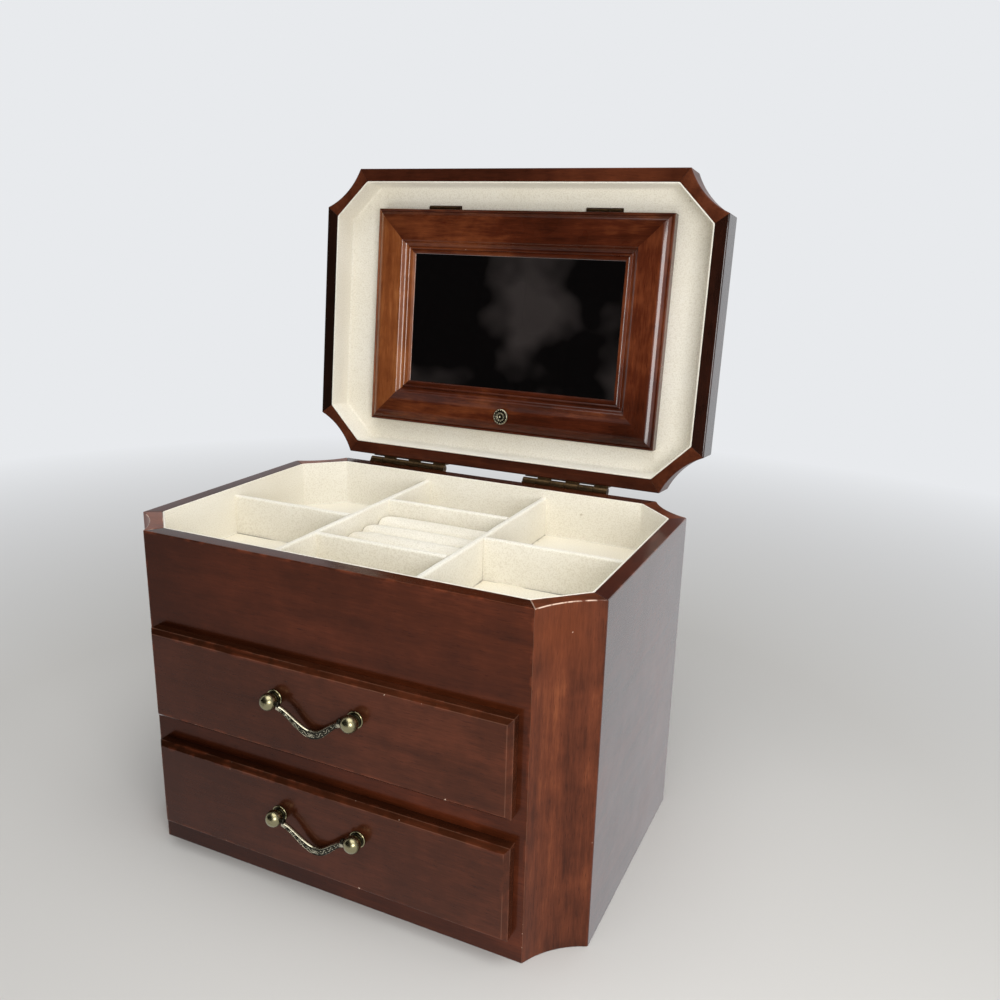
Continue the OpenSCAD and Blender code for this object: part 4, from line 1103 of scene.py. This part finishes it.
def bail(drawer):
    """The hanging curve is z = -start - fall (1 + cos(180 x / turn)) / 2. Across it the band has
    the outline y = thickness / 2 sqrt(1 - k^8), and the relief is sunk up to 0.38 mm into it."""
    low, high = box_of(drawer + "_pull_posts")
    ball = (high - low)[2] / 2
    pivot = np.array([0, low[1] + ball, (low + high)[2] / 2])
    x = np.linspace(-1, 1, 261) * BAIL_HALF
    turn, fall = 1.11 * BAIL_HALF, BAIL_DROP - BAIL_START
    z = -BAIL_START - fall * (1 + np.cos(np.pi * x / turn)) / 2
    rise = fall * np.pi / 2 / turn * np.sin(np.pi * x / turn)
    side = np.stack([-rise, np.ones_like(x)], -1) / np.sqrt(1 + rise ** 2)[:, None]
    widening = (BAIL_MIDDLE_WIDTH - BAIL_END_WIDTH) * (1 - np.abs(x) / BAIL_HALF) ** 1.5
    half = (BAIL_END_WIDTH + widening) / 2
    length = np.concatenate([[0], np.cumsum(np.hypot(np.diff(x), np.diff(z)))])
    length -= length[-1] / 2
    front = np.sin(np.linspace(-np.pi / 2, np.pi / 2, FRONT_POINTS))
    rear = np.sin(np.linspace(np.pi / 2, -np.pi / 2, REAR_POINTS + 2))[1:-1]
    across = np.concatenate([front, rear])
    facing = np.concatenate([-np.ones(FRONT_POINTS), np.ones(REAR_POINTS)])
    level, worn = scroll(length[:, None], front[None], half[:, None])
    level = 1 - (1 - level) * worn
    depth = BAIL_THICK / 2 * np.sqrt(1 - across ** 8)[None] * np.ones((len(x), 1))
    depth[:, :FRONT_POINTS] -= RELIEF * (1 - level)
    band = np.stack([x[:, None] + across * half[:, None] * side[:, :1], facing * depth,
                     z[:, None] + across * half[:, None] * side[:, 1:]], -1)
    level = np.hstack([level, np.full((len(x), REAR_POINTS), 0.8)])
    shape = Shape().grid(closed_ends(band), (False, True), np.vstack([level[:1], level, level[-1:]]))
    for sign in (-1, 1):
        ends = [(0, BAIL_HALF - 1.6), (1.2, BAIL_HALF - 1.6), (1.5, BAIL_HALF - 1.3),
                (1.5, BAIL_HALF - 0.3), (1.2, BAIL_HALF), (1.0, BAIL_HALF), (1.0, PIN_END), (0, PIN_END)]
        turned(shape, ends, (0, 0, 0), (sign, 0, 0), 32, [0.25] * len(ends))
    lean = np.array([[1, 0, 0], [0, math.cos(BAIL_LEAN), -math.sin(BAIL_LEAN)],
                     [0, math.sin(BAIL_LEAN), math.cos(BAIL_LEAN)]])
    shape.points = [points @ lean.T + pivot for points in shape.points]
    return shape.piece(drawer + "_cast_bail", worked_brass, "brass", drawer + "_pull_bail", sharp=60)


for drawer in ("upper", "lower"):
    print(drawer, "bail with", len(bail(drawer).data.vertices), "points")

# %% [markdown]
# The knob on the mirror's frame is a small rosette: a turned foot and rim, with a ring of beads
# round the rim, a smaller ring inside it and one bead in the middle. All beads are the same
# small ball, placed by a formula round the knob's axis.

# %% Knob
KNOB_PLACE = np.array([0, -61.5, -9.7])


def ring_of_beads(shape, count, ring, height, radius, rows=8, segments=12):
    """Balls of one radius whose centres lie evenly on a circle round the knob's axis."""
    u = np.linspace(0, np.pi, rows)[:, None]
    v = np.arange(segments)[None] * 2 * np.pi / segments
    ball = radius * np.stack([np.sin(u) * np.cos(v), np.sin(u) * np.sin(v), np.cos(u) + 0 * v], -1)
    for place in np.arange(count) * 2 * np.pi / count:
        centre = [ring * math.cos(place), ring * math.sin(place), height]
        shape.grid(ball + centre, (False, True), np.clip(0.35 + 0.7 * ball[..., 2] / radius, 0, 1))


rosette = Shape()
rim_turn = np.linspace(math.radians(200), math.radians(440), 13)
rosette_outline = [(0, 0), (2.89, 0), (2.89, 0.9), (2.5, 1.3), (2.0, 1.9), (1.9, 2.5), (3.3, 2.7)]
rosette_outline += list(zip(4.35 + 0.9 * np.cos(rim_turn), 3.47 + 0.9 * np.sin(rim_turn)))
rosette_outline += [(4.0, 4.05), (3.45, 3.75), (3.2, 3.9), (2.95, 4.5), (2.5, 4.62), (2.0, 4.5),
                    (1.7, 4.1), (1.3, 4.05), (0, 4.3)]
rosette_height = [0.62 if r > 4.6 or h > 4.4 else 0.15 for r, h in rosette_outline]
turned(rosette, rosette_outline, (0, 0, 0), (0, 0, 1), 64, rosette_height)
ring_of_beads(rosette, 16, 4.55, 3.98, 0.55)
ring_of_beads(rosette, 10, 2.72, 4.72, 0.42)
ring_of_beads(rosette, 1, 0.0, 4.75, 0.82)
rosette.points = [from_lid(points + KNOB_PLACE) for points in rosette.points]
rosette.piece("knob_rosette", worked_brass, "brass", "door_knob", sharp=50)
print("knob with", rosette.count, "points")

# %% [markdown]
# Hinges are stamped from sheet brass. Their leaves keep the model's shape and get eased edges,
# because a stamped edge is rolled over by the die and never sharp.

# %% Hinge leaves
STAMPED_EDGE = 0.12
for node, brass in (("lid_hinge_case_leaves", hinge_brass), ("lid_hinge_lid_leaves", hinge_brass),
                    ("door_hinge_lid_leaves", small_hinge_brass),
                    ("door_hinge_door_leaves", small_hinge_brass)):
    eased(node, brass, STAMPED_EDGE, segments=1)

# %% [markdown]
# Everything that needs no new form keeps the model's mesh and only gets its finish.

# %% Finishes for the pieces that stay
stay = {
    "lid_panel": lid_long_wood, "case_bottom": board_x, "drawer_shelf": board_x,
    "drawer_runners": board_y, "tray_board": board_x, "mirror_backing": board_x,
    "upper_drawer_sides": board_y, "upper_drawer_ends": board_x, "upper_drawer_bottom": board_x,
    "lower_drawer_sides": board_y, "lower_drawer_ends": board_x, "lower_drawer_bottom": board_x,
    "mirror_glass": mirror_silver, "catch_magnets": zinc_plate, "catch_plates": zinc_plate,
    "knob_screw": zinc_plate, "upper_pull_screws": zinc_plate, "lower_pull_screws": zinc_plate,
    "lid_hinge_pins": hinge_brass, "lid_hinge_case_screws": hinge_brass,
    "lid_hinge_lid_screws": hinge_brass, "door_hinge_pins": small_hinge_brass,
}
for node, material in stay.items():
    nodes[node].data.materials.clear()
    nodes[node].data.materials.append(material)
print("pieces with a finish only:", len(stay))
